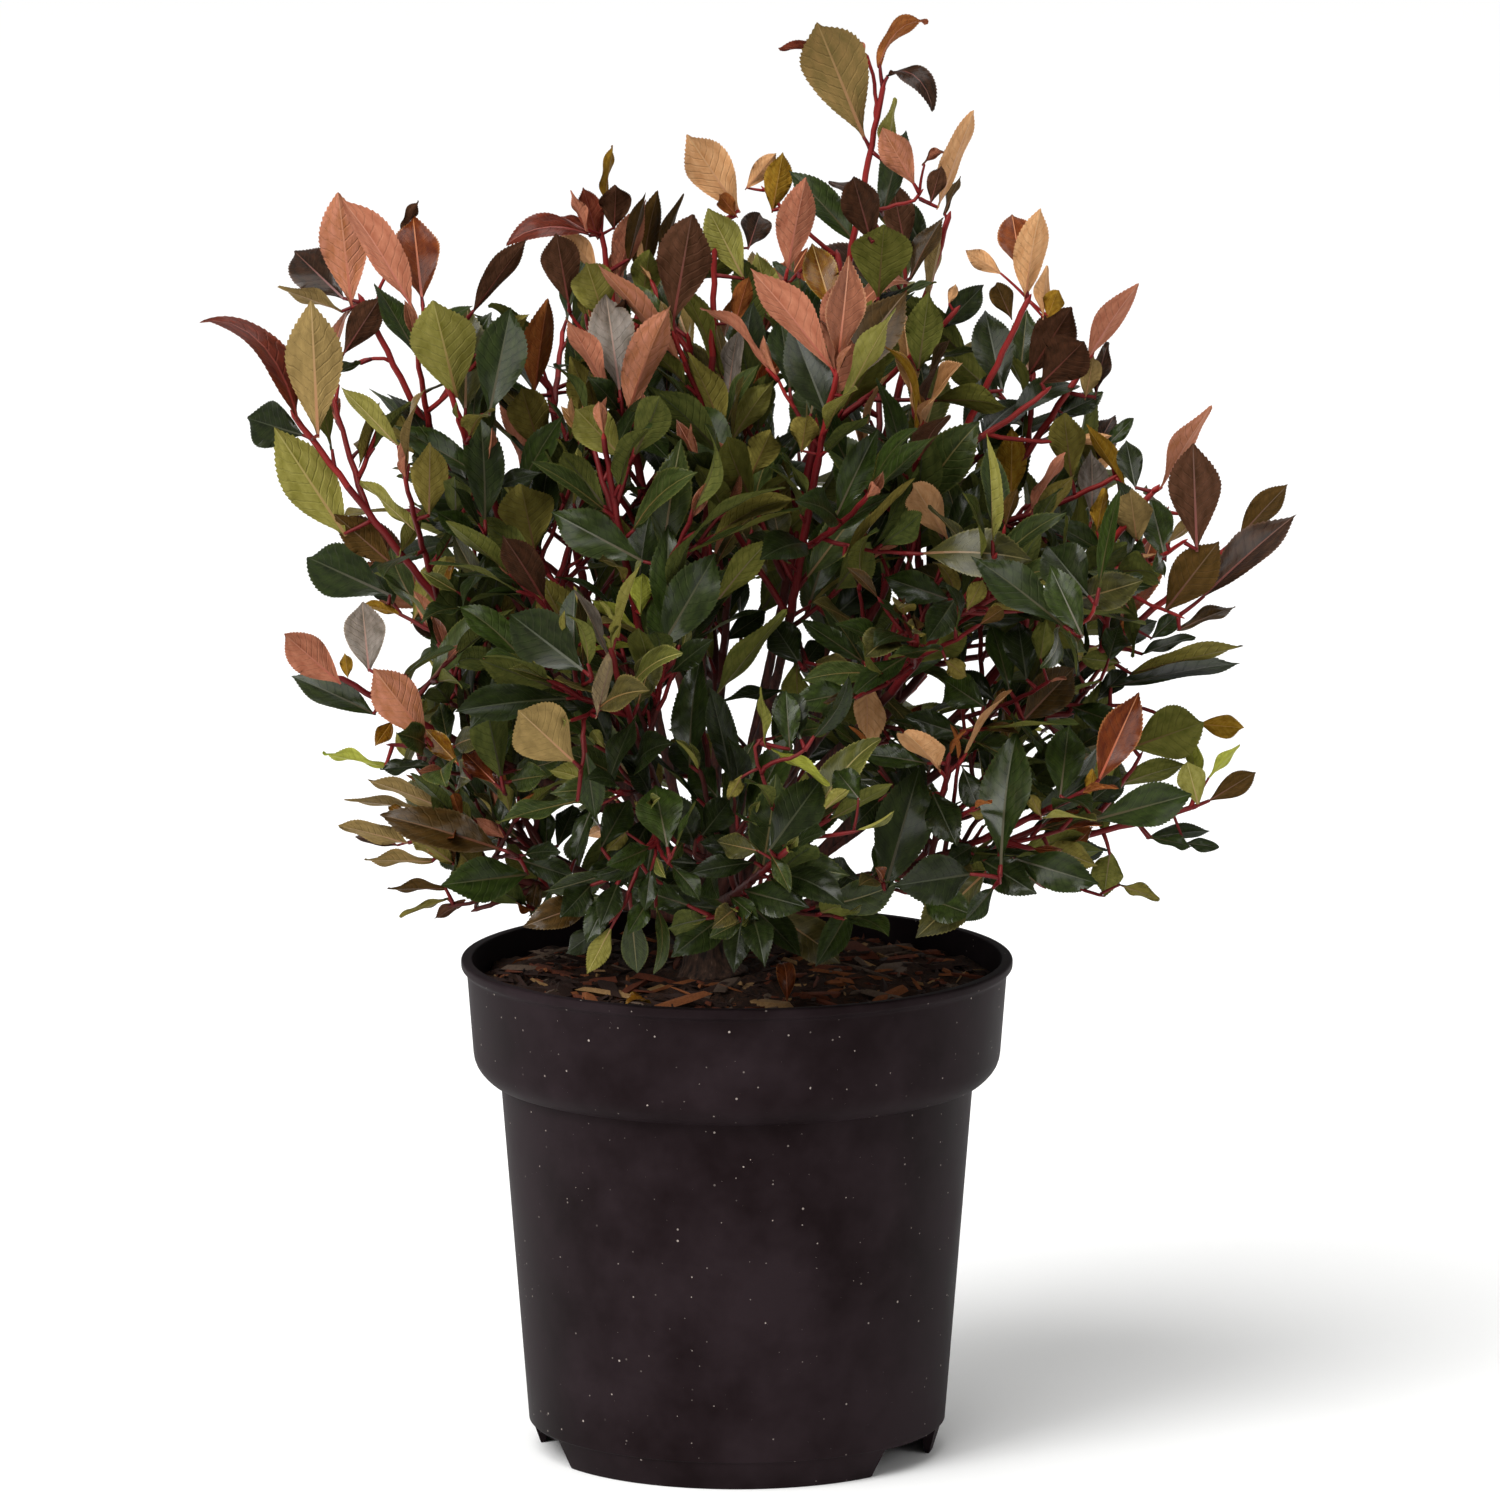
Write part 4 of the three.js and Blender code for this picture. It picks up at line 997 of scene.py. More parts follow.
# A row gives the side that is seen, the hue, where the blade starts and ends and how broad it looks,
# in the photograph's pixels. A sixth number is how much the blade is curled
# The grey hue is a dark waxy leaf whose glossy sheen is painted into its colour
SHOWN_LEAVES = """
under olive_tan 865 140 817 22 60
under ember 878 68 928 24 24 1.7
under wine 850 50 778 48 12
under salmon 867 62 852 37 8
upper plum 886 76 932 112 30 1.7
under pale 885 165 895 97 14
under salmon 915 186 882 128 30
upper deep 882 218 906 130 24
under tan 937 210 974 110 18
under plum 930 205 941 166 18
upper plum 872 198 828 182 11
upper deep 856 243 788 170 30
under gold 772 213 783 152 26
under salmon 787 272 806 177 34
upper gold 833 313 812 243 32
under salmon 833 370 750 268 32
upper salmon 850 325 911 284 20 1.5
under mid 878 300 884 224 66
upper deep 828 418 790 322 42
under pale 845 400 896 307 22
under mid 918 373 929 292 34
upper deep 940 330 984 285 26
under tan 740 213 687 134 42
under tan 745 190 776 153 18
under ember 738 218 719 194 16
under pale 745 281 708 208 34
upper plum 748 250 760 213 36
under pale 772 320 757 252 28
under ember 735 325 749 276 18
upper dusk 728 408 740 326 22
under tan 1025 300 1041 208 30
upper ember 1022 272 1012 214 34
under tan 1003 275 966 250 18
under umber 1012 320 996 283 22
under tan 1043 320 1047 265 14
under gold 1047 318 1058 290 20
upper deep 1003 393 985 310 38
under plum 1028 376 1072 307 40
under plum 1040 385 1084 341 46
under salmon 1085 363 1139 283 22
upper plum 1095 400 1109 342 16
under olive_tan 1085 400 1094 356 20
under salmon 352 310 338 192 44
under salmon 415 313 343 200 34
upper ember 422 300 413 217 42
under plum 402 235 419 201 10
upper plum 345 300 294 251 42
under olive_tan 345 312 277 287 14
upper wine 298 422 199 323 24 1.3
under olive_tan 318 438 311 300 52
under plum 342 356 381 296 30
upper deep 305 436 247 418 48
under pale 346 536 274 427 50
upper deep 418 358 374 283 22
under pale 457 398 433 300 60
upper deep 489 416 511 307 46
under ember 534 398 548 298 26
under plum 472 313 528 238 22
under pale 400 448 341 387 20
under old 359 468 380 402 12
under pale 418 533 360 480 14
under pale 396 560 441 487 12
upper deep 500 488 390 424 22
under old 429 518 430 442 34
upper deep 485 523 480 417 36
under old 541 453 521 387 38
under old 535 553 521 484 54
upper deep 392 596 307 557 50
under pale 411 624 446 556 30
under gold 604 200 613 145 10
under wine 598 240 583 187 24
under salmon 588 232 570 190 9
upper wine 592 234 561 216 13
under plum 614 230 616 185 30
upper wine 592 236 506 246 24 1.2
under plum 569 306 556 233 36
under tan 600 275 560 229 20
under salmon 616 283 646 199 26
under umber 641 284 658 190 26
under umber 628 262 646 192 14
under umber 657 262 684 193 10
under plum 673 322 692 214 50
under pale 606 323 586 262 40
under mid 641 308 650 251 30
upper dusk 620 393 606 294 42
under salmon 611 398 565 317 22
under salmon 628 413 671 305 34
under pale 623 458 575 408 38
under old 725 438 687 352 26
under pale 730 443 774 380 24
under old 750 478 771 431 30
under old 801 453 807 416 36
under salmon 1160 490 1212 405 20
under plum 1197 552 1193 443 48
under tan 1181 516 1185 464 26
under olive_tan 1165 545 1218 502 10
under umber 1164 612 1219 541 42
upper plum 1202 598 1297 514 34
under umber 1238 538 1288 484 25
upper deep 1136 490 1126 440 24
under gold 1127 489 1086 424 14
upper dusk 1091 525 1091 449 24
under gold 1096 534 1105 488 15
under olive_tan 1137 542 1130 490 36
under gold 1011 500 1012 426 28
under salmon 1029 513 1066 452 11
upper deep 1066 628 971 556 38
upper deep 1083 638 1050 566 34
upper deep 1090 598 1048 546 46
upper deep 1116 561 1036 515 18
under old 1072 482 1064 413 34
upper umber 1022 722 1075 667 38
upper ember 1098 782 1139 692 36
under mid 1130 748 1204 722 50
under gold 1198 724 1244 728 22
under lime 1198 786 1187 731 14
under lime 1207 780 1240 744 9
under pale 1199 807 1187 762 27
under umber 1207 802 1256 772 22
upper deep 1090 821 1192 794 40
under mid 1118 785 1187 764 20
upper deep 1146 839 1211 831 14
under old 1046 846 1098 866 26
upper deep 982 860 1037 894 34
upper deep 1012 858 1099 884 36
under mid 1110 852 1104 897 30
under old 1117 884 1160 900 12
upper deep 1001 868 1017 732 42
upper deep 1060 798 1069 724 36
under gold 1088 797 1093 769 11
upper deep 1140 655 1196 637 12
upper umber 1177 631 1236 607 12
under old 1128 674 1244 646 14
upper deep 1108 688 1241 663 18
under mid 1121 663 1082 658 18
under gold 402 615 363 604 9
upper dusk 369 672 362 602 38
under salmon 341 684 284 634 36
under gold 348 678 345 653 12
upper deep 376 715 291 676 28
under salmon 428 740 373 668 42
upper gold 459 765 425 729 20
upper ember 497 785 464 752 22
under lime 388 767 322 753 11
upper deep 433 765 380 770 13
under olive_tan 445 808 367 779 17
upper umber 502 850 379 815 38
under olive_tan 411 844 338 825 19
under olive_tan 435 861 364 860 12
under salmon 506 839 476 819 13
under salmon 498 817 488 760 15
under pale 510 813 503 782 15
upper deep 530 874 441 885 42
under umber 448 888 387 889 11
under old 450 898 399 917 5
under plum 466 900 434 919 11
upper deep 585 672 510 614 52
under olive_tan 575 763 518 710 58
under dusk 596 719 615 646 17
under lime 640 616 642 573 21
under lime 639 631 590 599 11
under lime 639 646 590 650 7
upper deep 618 883 600 928 24
upper deep 592 808 574 860 17
upper mid 580 801 496 823 18
upper deep 606 791 637 715 19
upper deep 657 655 716 553 46
upper deep 646 563 551 512 42
under old 638 538 586 515 28
under tan 865 662 866 755 26
upper old 759 851 718 842 24
upper deep 768 852 822 778 44
under lime 768 747 830 786 9
upper mid 770 853 790 893 15
upper deep 828 621 882 575 32
under old 842 558 915 478 9
upper deep 790 752 786 690 24
upper deep 800 670 822 640 20
upper deep 722 642 766 612 22
upper deep 690 906 624 884 28
under umber 394 566 334 514 30
upper gold 392 722 375 746 16
upper deep 1166 562 1151 500 32
upper deep 928 260 898 197 26
under mid 902 238 880 196 20
upper umber 876 224 857 188 24
upper mid 1020 378 1027 309 26
upper deep 1060 414 1099 396 20
upper deep 1106 447 1134 418 14
upper deep 932 792 957 846 34
upper deep 973 846 946 863 26
under old 966 812 990 819 7
upper deep 962 766 981 816 24
under old 1042 818 1030 795 12
upper deep 930 764 862 754 22
upper deep 1090 802 1120 779 26
upper deep 651 868 645 912 18
upper deep 650 898 627 935 20
upper mid 742 921 709 938 18
upper deep 742 890 810 908 34
upper deep 730 896 759 920 18
upper deep 757 862 690 874 20
upper deep 750 850 700 842 20
upper deep 668 850 655 785 44
under old 628 831 606 852 14
upper mid 689 834 666 870 9
under old 742 776 728 799 14
upper deep 592 884 560 918 30
under pale 612 926 587 974 20
upper deep 720 800 690 765 30
upper deep 700 838 730 800 30
upper deep 600 850 628 800 30
upper deep 860 800 836 770 34
upper deep 880 800 850 830 26
under plum 872 244 853 177 36
under plum 906 252 892 181 30
upper umber 909 281 944 217 18
under olive_tan 928 302 942 232 12
upper umber 944 216 961 176 7
under salmon 922 166 948 155 8 1.6
under tan 948 306 956 284 9
under olive_tan 420 808 343 800 9
upper gold 408 816 388 806 10
upper plum 400 846 355 837 11
upper umber 538 878 531 916 14
upper umber 598 902 523 927 28
upper deep 557 848 574 806 24
upper deep 546 852 547 808 16
upper mid 449 748 440 704 22
upper deep 690 768 701 658 32
under mid 712 700 787 609 17
upper deep 800 664 772 622 34
upper deep 792 690 722 700 10
under mid 765 748 760 686 8
upper deep 802 742 782 690 34
upper deep 848 754 790 741 26
upper deep 1010 693 990 622 22
upper deep 1027 682 1018 622 34
under mid 1040 661 1046 622 22
upper deep 951 600 884 577 30
upper deep 956 598 926 642 30
upper deep 962 622 1028 618 16
upper deep 986 708 944 680 34
upper deep 996 702 962 670 20
under old 966 612 983 580 18
under old 944 659 967 677 18
upper mid 943 648 888 658 9
upper deep 1108 661 1119 625 24
upper deep 1070 706 1131 728 24
upper gold 998 682 1008 739 9
upper deep 966 736 905 716 26
upper deep 1150 640 1179 614 18
upper deep 1096 701 1127 668 20
upper deep 1182 843 1219 848 13
upper deep 1150 838 1192 847 12
upper deep 972 874 893 886 46
upper deep 884 893 920 766 52
upper deep 921 896 976 916 34
"""
FOCAL = PHOTO_SIDE * camera_data.lens / camera_data.sensor_width
camera_axes = np.array(camera.rotation_quaternion.to_matrix()).T
eye = np.array(CAMERA_PLACE) * 1000


def pixel_of(points):
    """Where points show in the photograph."""
    right, up, back = ((points - eye) @ axis for axis in camera_axes)
    return np.stack([PHOTO_SIDE / 2 - FOCAL * right / back, PHOTO_SIDE / 2 + FOCAL * up / back], -1)


def depth_of(points):
    return -(points - eye) @ camera_axes[2]


def place_of(pixel, depth):
    """The place that shows at a pixel, at a depth in front of the camera."""
    right, up = (pixel[0] - PHOTO_SIDE / 2) / FOCAL, (PHOTO_SIDE / 2 - pixel[1]) / FOCAL
    return eye + depth * (camera_axes[0] * right + camera_axes[1] * up - camera_axes[2])


def wood_before(start, end, breadth, near, far):
    """How many places of wood stand between the eye and a blade, near and far the depths of its ends."""
    wood = np.concatenate([kind.middles() for kind in (shoot_wood, limb_wood)])
    along, off = end - start, pixel_of(wood) - start
    share = off @ along / (along @ along)
    beside = np.abs(off @ np.array([-along[1], along[0]])) / np.linalg.norm(along)
    inside = (share > 0.1) & (share < 0.96) & (beside < breadth * 0.45)
    return int((inside & (depth_of(wood) < near + (far - near) * share)).sum())


def runs_through(trial, middle):
    """Whether a shoot or twig runs through a blade."""
    near = np.linalg.norm(shoot_wood.middles() - middle, axis=1) < 36
    starts, steps = shoot_wood.a[near], (shoot_wood.b - shoot_wood.a)[near]
    hits = (trial.ray_cast(a, unit(step), np.linalg.norm(step)) for a, step in zip(starts, steps))
    return any(hit[0] is not None for hit in hits)


# Places along the shoots that may carry a leaf, each with its shoot's number and its share
samples, sample_marks = [], []


def mark_places(number):
    for share in np.linspace(0.12, 1, 16):
        samples.append(point_at(shoots[number]["line"], share))
        sample_marks.append((number, share))


for number in range(len(shoots)):
    mark_places(number)
# Each blade is turned about its length until it looks as broad as it should, leans to or from the
# eye by what its length leaves over, and stands where the least wood and the fewest blades cross it
shown_faces, shown_points, shown_cores = [], [], []
for count, row in enumerate(SHOWN_LEAVES.strip().split("\n")):
    random = seeded(31000 + count)
    side, hue, *numbers = row.split()
    start_x, start_y, tip_x, tip_y, breadth, curl = (*map(float, numbers), 0.0)[:6]
    start, end = np.array([start_x, start_y]), np.array([tip_x, tip_y])
    sample_depths = depth_of(np.array(samples))
    # A shoot in front is worth a somewhat longer stalk, most of all for a broad blade
    forward = FORWARD_BROAD if breadth >= BROAD_BLADE else FORWARD_NARROW
    cost = np.linalg.norm(pixel_of(np.array(samples)) - start, axis=1)
    cost += forward * (sample_depths - sample_depths.min())
    best = int(cost.argmin())
    number, share = sample_marks[best]
    depth, foot = sample_depths[best], samples[best]
    scale = FOCAL / depth
    # A blade's outline is drawn in by its point and its keel, so it is made a tenth broader
    flat, broad = np.linalg.norm(end - start) / scale, breadth * 1.1 / scale
    # It is 1.04 to 1.3 times as long as it looks, by its breadth
    reach = min(flat * 1.3, max(flat * 1.04, broad / 0.43))
    half = min(max(broad / 2, reach * SLIMMEST), reach * BROADEST)
    roll = max(math.acos(min(1, broad / 2 / half * 1.04)), CURLED_ROLL if curl else 0)
    lean = math.sqrt(max(0, reach**2 - flat**2))
    rising = end[1] < start[1] + 10
    lean *= -1 if (side == "under") == rising else 1
    # A blade seen edge on is nearly straight in the photograph
    bend = curl or (0.1 + 0.35 * next(random)) * math.cos(roll) ** 2 + 0.04
    blade = [1.0, half, bend, 0.16 + 0.2 * next(random), 0.3 + 0.9 * next(random), 6.28 * next(random)]
    blade += [0.9 + 0.25 * next(random), (next(random) - 0.5) * 0.3]
    lying = []
    for shift in SHOWN_SHIFTS:
        base = place_of(start, depth + shift)
        tip = place_of(end, depth + shift + lean)
        way = unit(tip - base)
        _, run, rise = blade_points(blade, np.array([[1.0, 0, 0, 0, 0]]))[0]
        blade[0] = np.linalg.norm(tip - base) / math.hypot(run, rise) * blade[0]
        to_eye = unit(eye - base)
        face = unit(to_eye - way * (to_eye @ way))
        if side == "under":
            face = -face
        turned = [face * math.cos(roll) + np.cross(way, face) * math.sin(roll) * sign for sign in (-1, 1)]
        face = max(turned, key=lambda way_up: way_up[2])
        tilt = math.atan2(rise, run)
        along = way * math.cos(tilt) - face * math.sin(tilt)
        upper = face * math.cos(tilt) + way * math.sin(tilt)
        ways = np.stack([np.cross(along, upper), along, upper])
        points = blade_points(blade, TRIAL) @ ways + base
        trial = trial_of(points)
        crossed = sum(bool(trial.overlap(other)) for other in neighbours(points.mean(0)))
        pierced = runs_through(trial, points.mean(0))
        hidden = wood_before(start, end, breadth, depth + shift, depth + shift + lean)
        ill = 3 * crossed + 4 * pierced + min(hidden, 16) + abs(shift) / 14
        lying.append((ill, len(lying), base, tip, way, tuple(blade), ways, points, trial))
    _, _, base, tip, way, blade, ways, points, trial = min(lying, key=lambda one: one[:2])
    off = float(np.linalg.norm(base - foot))
    if off > SHOWN_STALK:
        # Its twig leaves the shoot lower down, rises and comes in along the blade
        line = shoots[number]["line"]
        low = max(0.03, share - min(26, off * 0.9) / length_of(line))
        root = point_at(line, low)
        foot = base - way * 3.5
        long = np.linalg.norm(foot - root)
        before = foot - unit(tip - base + UP * 8) * long * 0.2
        twig = bezier(root, root + heading(line, low) * long * 0.3, before, foot)
        shoot_wood.add(twig, 3, 0.8, shoots[number]["limb"].name)
        grown = {"order": OWN_TWIG, "root": (number, low), "line": twig, "bearing": 90 * number}
        shoots.append({**shoots[number], **grown})
        number, share = len(shoots) - 1, 1.0
        mark_places(number)
    place_leaf(hue, blade, ways, base, foot, share, number, points, trial)
    shown_faces += [tuple(i + len(TRIAL) * count for i in face) for face in TRIAL_FACES]
    shown_points += [tuple(point) for point in points]
    shown_cores += list(points[[4, 7, 10]])
shown_tree = BVHTree.FromPolygons(shown_points, shown_faces)
shown_cores = np.array(shown_cores)
core_pixels = pixel_of(shown_cores)


# The other leaves
# They fill the crown by the solids' rule, from the shoots' ends inwards, and keep to the crown's
# outline in the photograph and out of the gaps where the sky shows.

# The outline in pixels, without the leaves named above
CROWN_OUTLINE = np.array(
    [
        (530, 925), (470, 900), (440, 870), (400, 840), (395, 790), (395, 740), (400, 690), (412, 650),
        (400, 615), (375, 590), (345, 548), (318, 508), (310, 430), (300, 380), (310, 330), (345, 300),
        (390, 290), (425, 310), (455, 300), (480, 300), (520, 320), (550, 300), (575, 250), (620, 235),
        (690, 240), (730, 250), (780, 240), (830, 250), (870, 240), (930, 240), (945, 280), (985, 330),
        (1050, 330), (1090, 370), (1112, 405), (1130, 450), (1150, 490), (1180, 545), (1165, 615),
        (1140, 650), (1128, 690), (1118, 730), (1125, 770), (1120, 810), (1110, 850), (1095, 885),
        (1040, 893), (985, 900), (975, 920), (930, 935), (900, 960), (600, 985), (560, 960),
    ],
    float,
)
# Each gap's middle and radius in pixels
SKY_GAPS = np.array(
    [
        (733, 638, 15), (772, 668, 16), (740, 684, 18), (746, 709, 14), (745, 733, 11), (674, 688, 10),
        (665, 716, 13), (556, 539, 12), (565, 568, 13), (585, 576, 9), (857, 850, 14), (872, 904, 10),
        (907, 907, 14), (921, 847, 12), (921, 688, 13), (642, 476, 11), (795, 571, 9), (780, 608, 8),
        (920, 552, 9), (980, 662, 14), (963, 718, 10), (948, 781, 13), (972, 777, 11), (972, 818, 9),
        (1021, 832, 12), (450, 731, 9), (521, 826, 9), (570, 812, 9), (591, 856, 9), (629, 793, 10),
        (972, 439, 8), (970, 462, 9), (947, 442, 9), (1035, 423, 9), (1042, 463, 12), (1023, 518, 9),
        (1086, 520, 4), (1144, 592, 9), (1098, 690, 9), (347, 430, 11), (350, 462, 10), (350, 382, 10),
        (393, 345, 11), (397, 380, 12), (437, 405, 12), (450, 432, 12), (378, 460, 12), (372, 487, 9),
        (405, 490, 13), (508, 455, 12), (552, 325, 12), (560, 352, 9), (556, 385, 13), (545, 415, 9),
        (690, 335, 8), (705, 352, 8), (706, 296, 9), (602, 455, 9), (845, 320, 7), (965, 335, 10),
        (978, 370, 8), (965, 388, 6), (897, 385, 12), (902, 402, 9), (881, 420, 9), (815, 455, 12),
        (822, 472, 8), (841, 503, 6), (945, 441, 8), (1042, 390, 8), (545, 605, 8), (420, 682, 8),
        (712, 718, 8), (621, 800, 7), (682, 806, 6), (495, 860, 9), (560, 861, 6), (767, 762, 12),
        (790, 768, 8), (932, 845, 12), (970, 835, 9), (1012, 843, 10), (695, 565, 8), (402, 632, 10),
        (411, 652, 9), (360, 500, 8), (387, 521, 7), (422, 497, 7), (902, 628, 7), (940, 668, 6),
    ],
    float,
)


def in_outline(pixels):
    """Whether each pixel lies inside: a line to its right then crosses the outline an odd number of times."""
    x, y = pixels[:, 0, None], pixels[:, 1, None]
    (x0, y0), (x1, y1) = CROWN_OUTLINE.T, np.roll(CROWN_OUTLINE, -1, axis=0).T
    crossing = (y0 > y) != (y1 > y)
    at = x0 + (y - y0) * (x1 - x0) / np.where(y1 == y0, 1, y1 - y0)
    return (crossing & (x < at)).sum(1) % 2 == 1


def seen_well(points):
    """Whether a blade keeps to the outline and leaves the gaps open, as the photograph shows the crown."""
    pixels = pixel_of(points)
    if not in_outline(pixels[[7, 13]]).all():
        return False
    off = np.linalg.norm(pixels[:, None] - SKY_GAPS[None, :, :2], axis=2)
    return not (off < SKY_GAPS[:, 2]).any()


def hides_shown(points, trial):
    """Whether a blade would stand before one of the leaves that show best."""
    ways = points - eye
    before = (shown_tree.ray_cast(point, unit(way))[0] is not None for point, way in zip(points, ways))
    if sum(before) > 2:
        return True
    near = np.abs(core_pixels - pixel_of(points.mean(0))).max(1) < 70
    return any(trial.ray_cast(core, unit(eye - core))[0] is not None for core in shown_cores[near])


# So near to the pot's middle a leaf hangs over the mix, and further out over the pot's rim
POT_MOUTH = 87
# How far a blade keeps off boughs and off shoots
OFF_BOUGHS, OFF_SHOOTS = 1.2, 0.5
# How far a leaf leans out from its shoot, in degrees, at the shoot's foot and at its end
LEAN_AT_FOOT, LEAN_AT_END = 47, 16


def leaf_fits(points, trial):
    """Whether a blade keeps inside the crown and clear of the pot, the limbs and other blades."""
    tip = points[-1]
    over_pot = math.hypot(tip[0], tip[1]) < POT_MOUTH and tip[2] < CROWN[0, 0]
    if not over_pot and not inside_crown(tip):
        return False
    out = np.hypot(points[:, 0], points[:, 1])
    if (points[:, 2] < np.where(out < POT_MOUTH, SOIL_TOP + 4, POT_HEIGHT + 5)).any():
        return False
    if limb_wood.clearance(points).min() < OFF_BOUGHS:
        return False
    near = np.linalg.norm(shoot_wood.middles() - points.mean(0), axis=1) < 60
    if near.any() and shoot_wood.clearance(points[4:], near).min() < OFF_SHOOTS:
        return False
    return all(not trial.overlap(other) for other in neighbours(points.mean(0)))


def leaf_ways(shoot, share, late, bearing, random):
    """Ways for a leaf to lie at a share of its shoot, by the solids' rule: the first that fits stays."""
    line = shoot["line"]
    axis = heading(line, share)
    foot = point_at(line, share)
    for swing in (0, 40, -40, 85, -85, 130):
        out = round_axis(axis, bearing + swing + (next(random) - 0.5) * 30)
        lean = LEAN_AT_FOOT + (LEAN_AT_END - LEAN_AT_FOOT) * late**2
        angle = math.radians(lean + (next(random) - 0.5) * 24)
        along = axis * math.cos(angle) + out * math.sin(angle)
        upper = axis + 0.35 * UP
        upper = unit(upper - along * (upper @ along))
        roll = math.radians((next(random) - 0.5) * 84)
        across = np.cross(along, upper)
        upper = upper * math.cos(roll) + across * math.sin(roll)
        across = np.cross(along, upper)
        yield foot, np.stack([across, along, upper])


# Where leaves are wanted: the ends of shoots come first, so the crown's outline is sure to be full.
# How far from its foot each order of shoots has its first leaf
FIRST_LEAF = (7, 9, 8, 8)
wanted = []
for number, shoot in enumerate(shoots):
    size = length_of(shoot["line"])
    start = FIRST_LEAF[shoot["order"]]
    count = max(1, int((size - start) / LEAF_SPACING))
    for k in range(count + 1):
        late = k / count
        share = (start + (size - start - 1) * (1 - (1 - late) ** 1.12)) / size
        wanted.append((count - k, number, k, min(share, 0.995), late))
wanted.sort()

# By a shoot's order: how many of its last leaves may be young, and how likely each is to be where
# the shoot ends outside and inside
YOUNG_LEAVES = (4, 3, 1, 0)
YOUNG_OUTSIDE, YOUNG_INSIDE = (1, 0.7, 0.3, 0), (0.55, 0.2, 0.08, 0)
# A leaf's size on each order low in the crown, and what it gains towards the top
SIZE_LOW, SIZE_GAIN = (0.92, 0.86, 0.8, 0.76), (0.12, 0.12, 0.1, 0)
# A shoot that ends beyond this reach or height is an outside one
OUTSIDE_REACH, OUTSIDE_HEIGHT = 120, 370
# Leaves are larger from this height on, and grow to their full size over this rise
LOW_CROWN, CROWN_RISE = 230, 160
# Where a whole blade finds no room, one of three quarters of its size may
LEAF_SIZES = (1.0, 0.76)
HUES_OF_GREEN = ("deep", "deep", "deep", "deep", "deep", "mid", "mid", "old")
for from_end, number, k, share, late in wanted:
    shoot = shoots[number]
    random = seeded(9000 + number * 37 + k)
    draw = [next(random) for _ in range(9)]
    order = shoot["order"]
    hues = shoot["limb"].hues.split()
    high = point_at(shoot["line"], 1)
    outer = math.hypot(high[0], high[1]) > OUTSIDE_REACH or high[2] > OUTSIDE_HEIGHT
    likely = (YOUNG_OUTSIDE if outer else YOUNG_INSIDE)[order]
    young = from_end < YOUNG_LEAVES[order] and draw[0] < likely
    hue = hues[(from_end + (number % 3 if order else 0)) % 5] if young else "green"
    if hue == "green":
        hue = HUES_OF_GREEN[int(draw[1] * len(HUES_OF_GREEN))]
    risen = min(1, max(0, (high[2] - LOW_CROWN) / CROWN_RISE))
    grown = (SIZE_LOW[order] + SIZE_GAIN[order] * risen) * (1.04 if young else 0.96)
    long = LEAF_LENGTH * (0.74 + 0.4 * draw[2]) * grown
    half = long * (0.155 + 0.065 * draw[3])
    form = (0.1 + 0.8 * draw[5] ** 1.5, 0.1 + 0.26 * draw[4] + (0.1 if young else 0))
    form += (0.2 + 0.9 * draw[6], 6.28 * draw[7], 0.86 + 0.3 * draw[8], (draw[0] - 0.5) * 0.4)
    stalk = 4.0 + 3.0 * draw[1]
    bearing = shoot["bearing"] + k * TWIG_TURN
    tries = [(size, *way) for size in LEAF_SIZES for way in leaf_ways(shoot, share, late, bearing, random)]
    for size, foot, ways in tries:
        blade = (long * size, half * size) + form
        base = foot + ways[1] * stalk
        points = blade_points(blade, TRIAL) @ ways + base
        trial = trial_of(points)
        if leaf_fits(points, trial) and seen_well(points) and not hides_shown(points, trial):
            place_leaf(hue, blade, ways, base, foot, share, number, points, trial)
            break

# Small new leaves, still folded, stand at the end of each shoot but the leaves' own twigs
for number, shoot in enumerate(shoots):
    if shoot["order"] == OWN_TWIG:
        continue
    random = seeded(77000 + number)
    axis = heading(shoot["line"], 1)
    hues = shoot["limb"].hues.split()
    hue = hues[0] if hues[0] != "green" else "pale"
    for k in range(2 if shoot["order"] < 2 else 1):
        out = round_axis(axis, next(random) * 360)
        along = unit(axis + out * (0.12 + 0.2 * next(random)))
        upper = unit(-out - along * (-out @ along))
        ways = np.stack([np.cross(along, upper), along, upper])
        long = 9 + 9 * next(random)
        blade = (long, long * 0.16, 0.3, 0.75, 0.1, 0, 1, 0.3 * next(random))
        foot = point_at(shoot["line"], 1)
        base = foot + along * 1.2
        points = blade_points(blade, TRIAL) @ ways + base
        if seen_well(points) and inside_crown(points[-1], 3) and points[-1][2] > POT_HEIGHT + 6:
            leaves.append((hue, blade, ways, base, foot, 1.0, number))

# Two have fallen on the mix: a dead one, curled up on its edge, and a small yellow one
for hue, x, y, bearing, rise, long, half, curl in (
    ("ember", 17, -56, 100, 66, 17, 3.2, 1.6),
    ("gold", -29, -60, 200, 8, 10, 3.0, 0.9),
):
    foot = np.array([x, y, SOIL_TOP + 2.4])
    along = level_way(bearing) * math.cos(math.radians(rise)) + UP * math.sin(math.radians(rise))
    across = unit(np.cross(along, UP))
    ways = np.stack([across, along, np.cross(across, along)])
    leaves.append((hue, (long, half, curl, 0.7, 0.5, 1.0, 1.0, 0.4), ways, foot, foot, 0.0, 0))


# The shoots and stalks as one piece
# A shoot ends in a pointed bud at its last leaf or twig, and one that carries nothing is left out.
# Each leaf hangs on a slim red stalk that comes out of its shoot's bark.
BUD_LENGTH, BUD_TIP = 2.2, 0.2
STALK_RADII = (0.85, 0.6)
# A leaf shorter than this has a slimmer stalk
SMALL_LEAF = 20
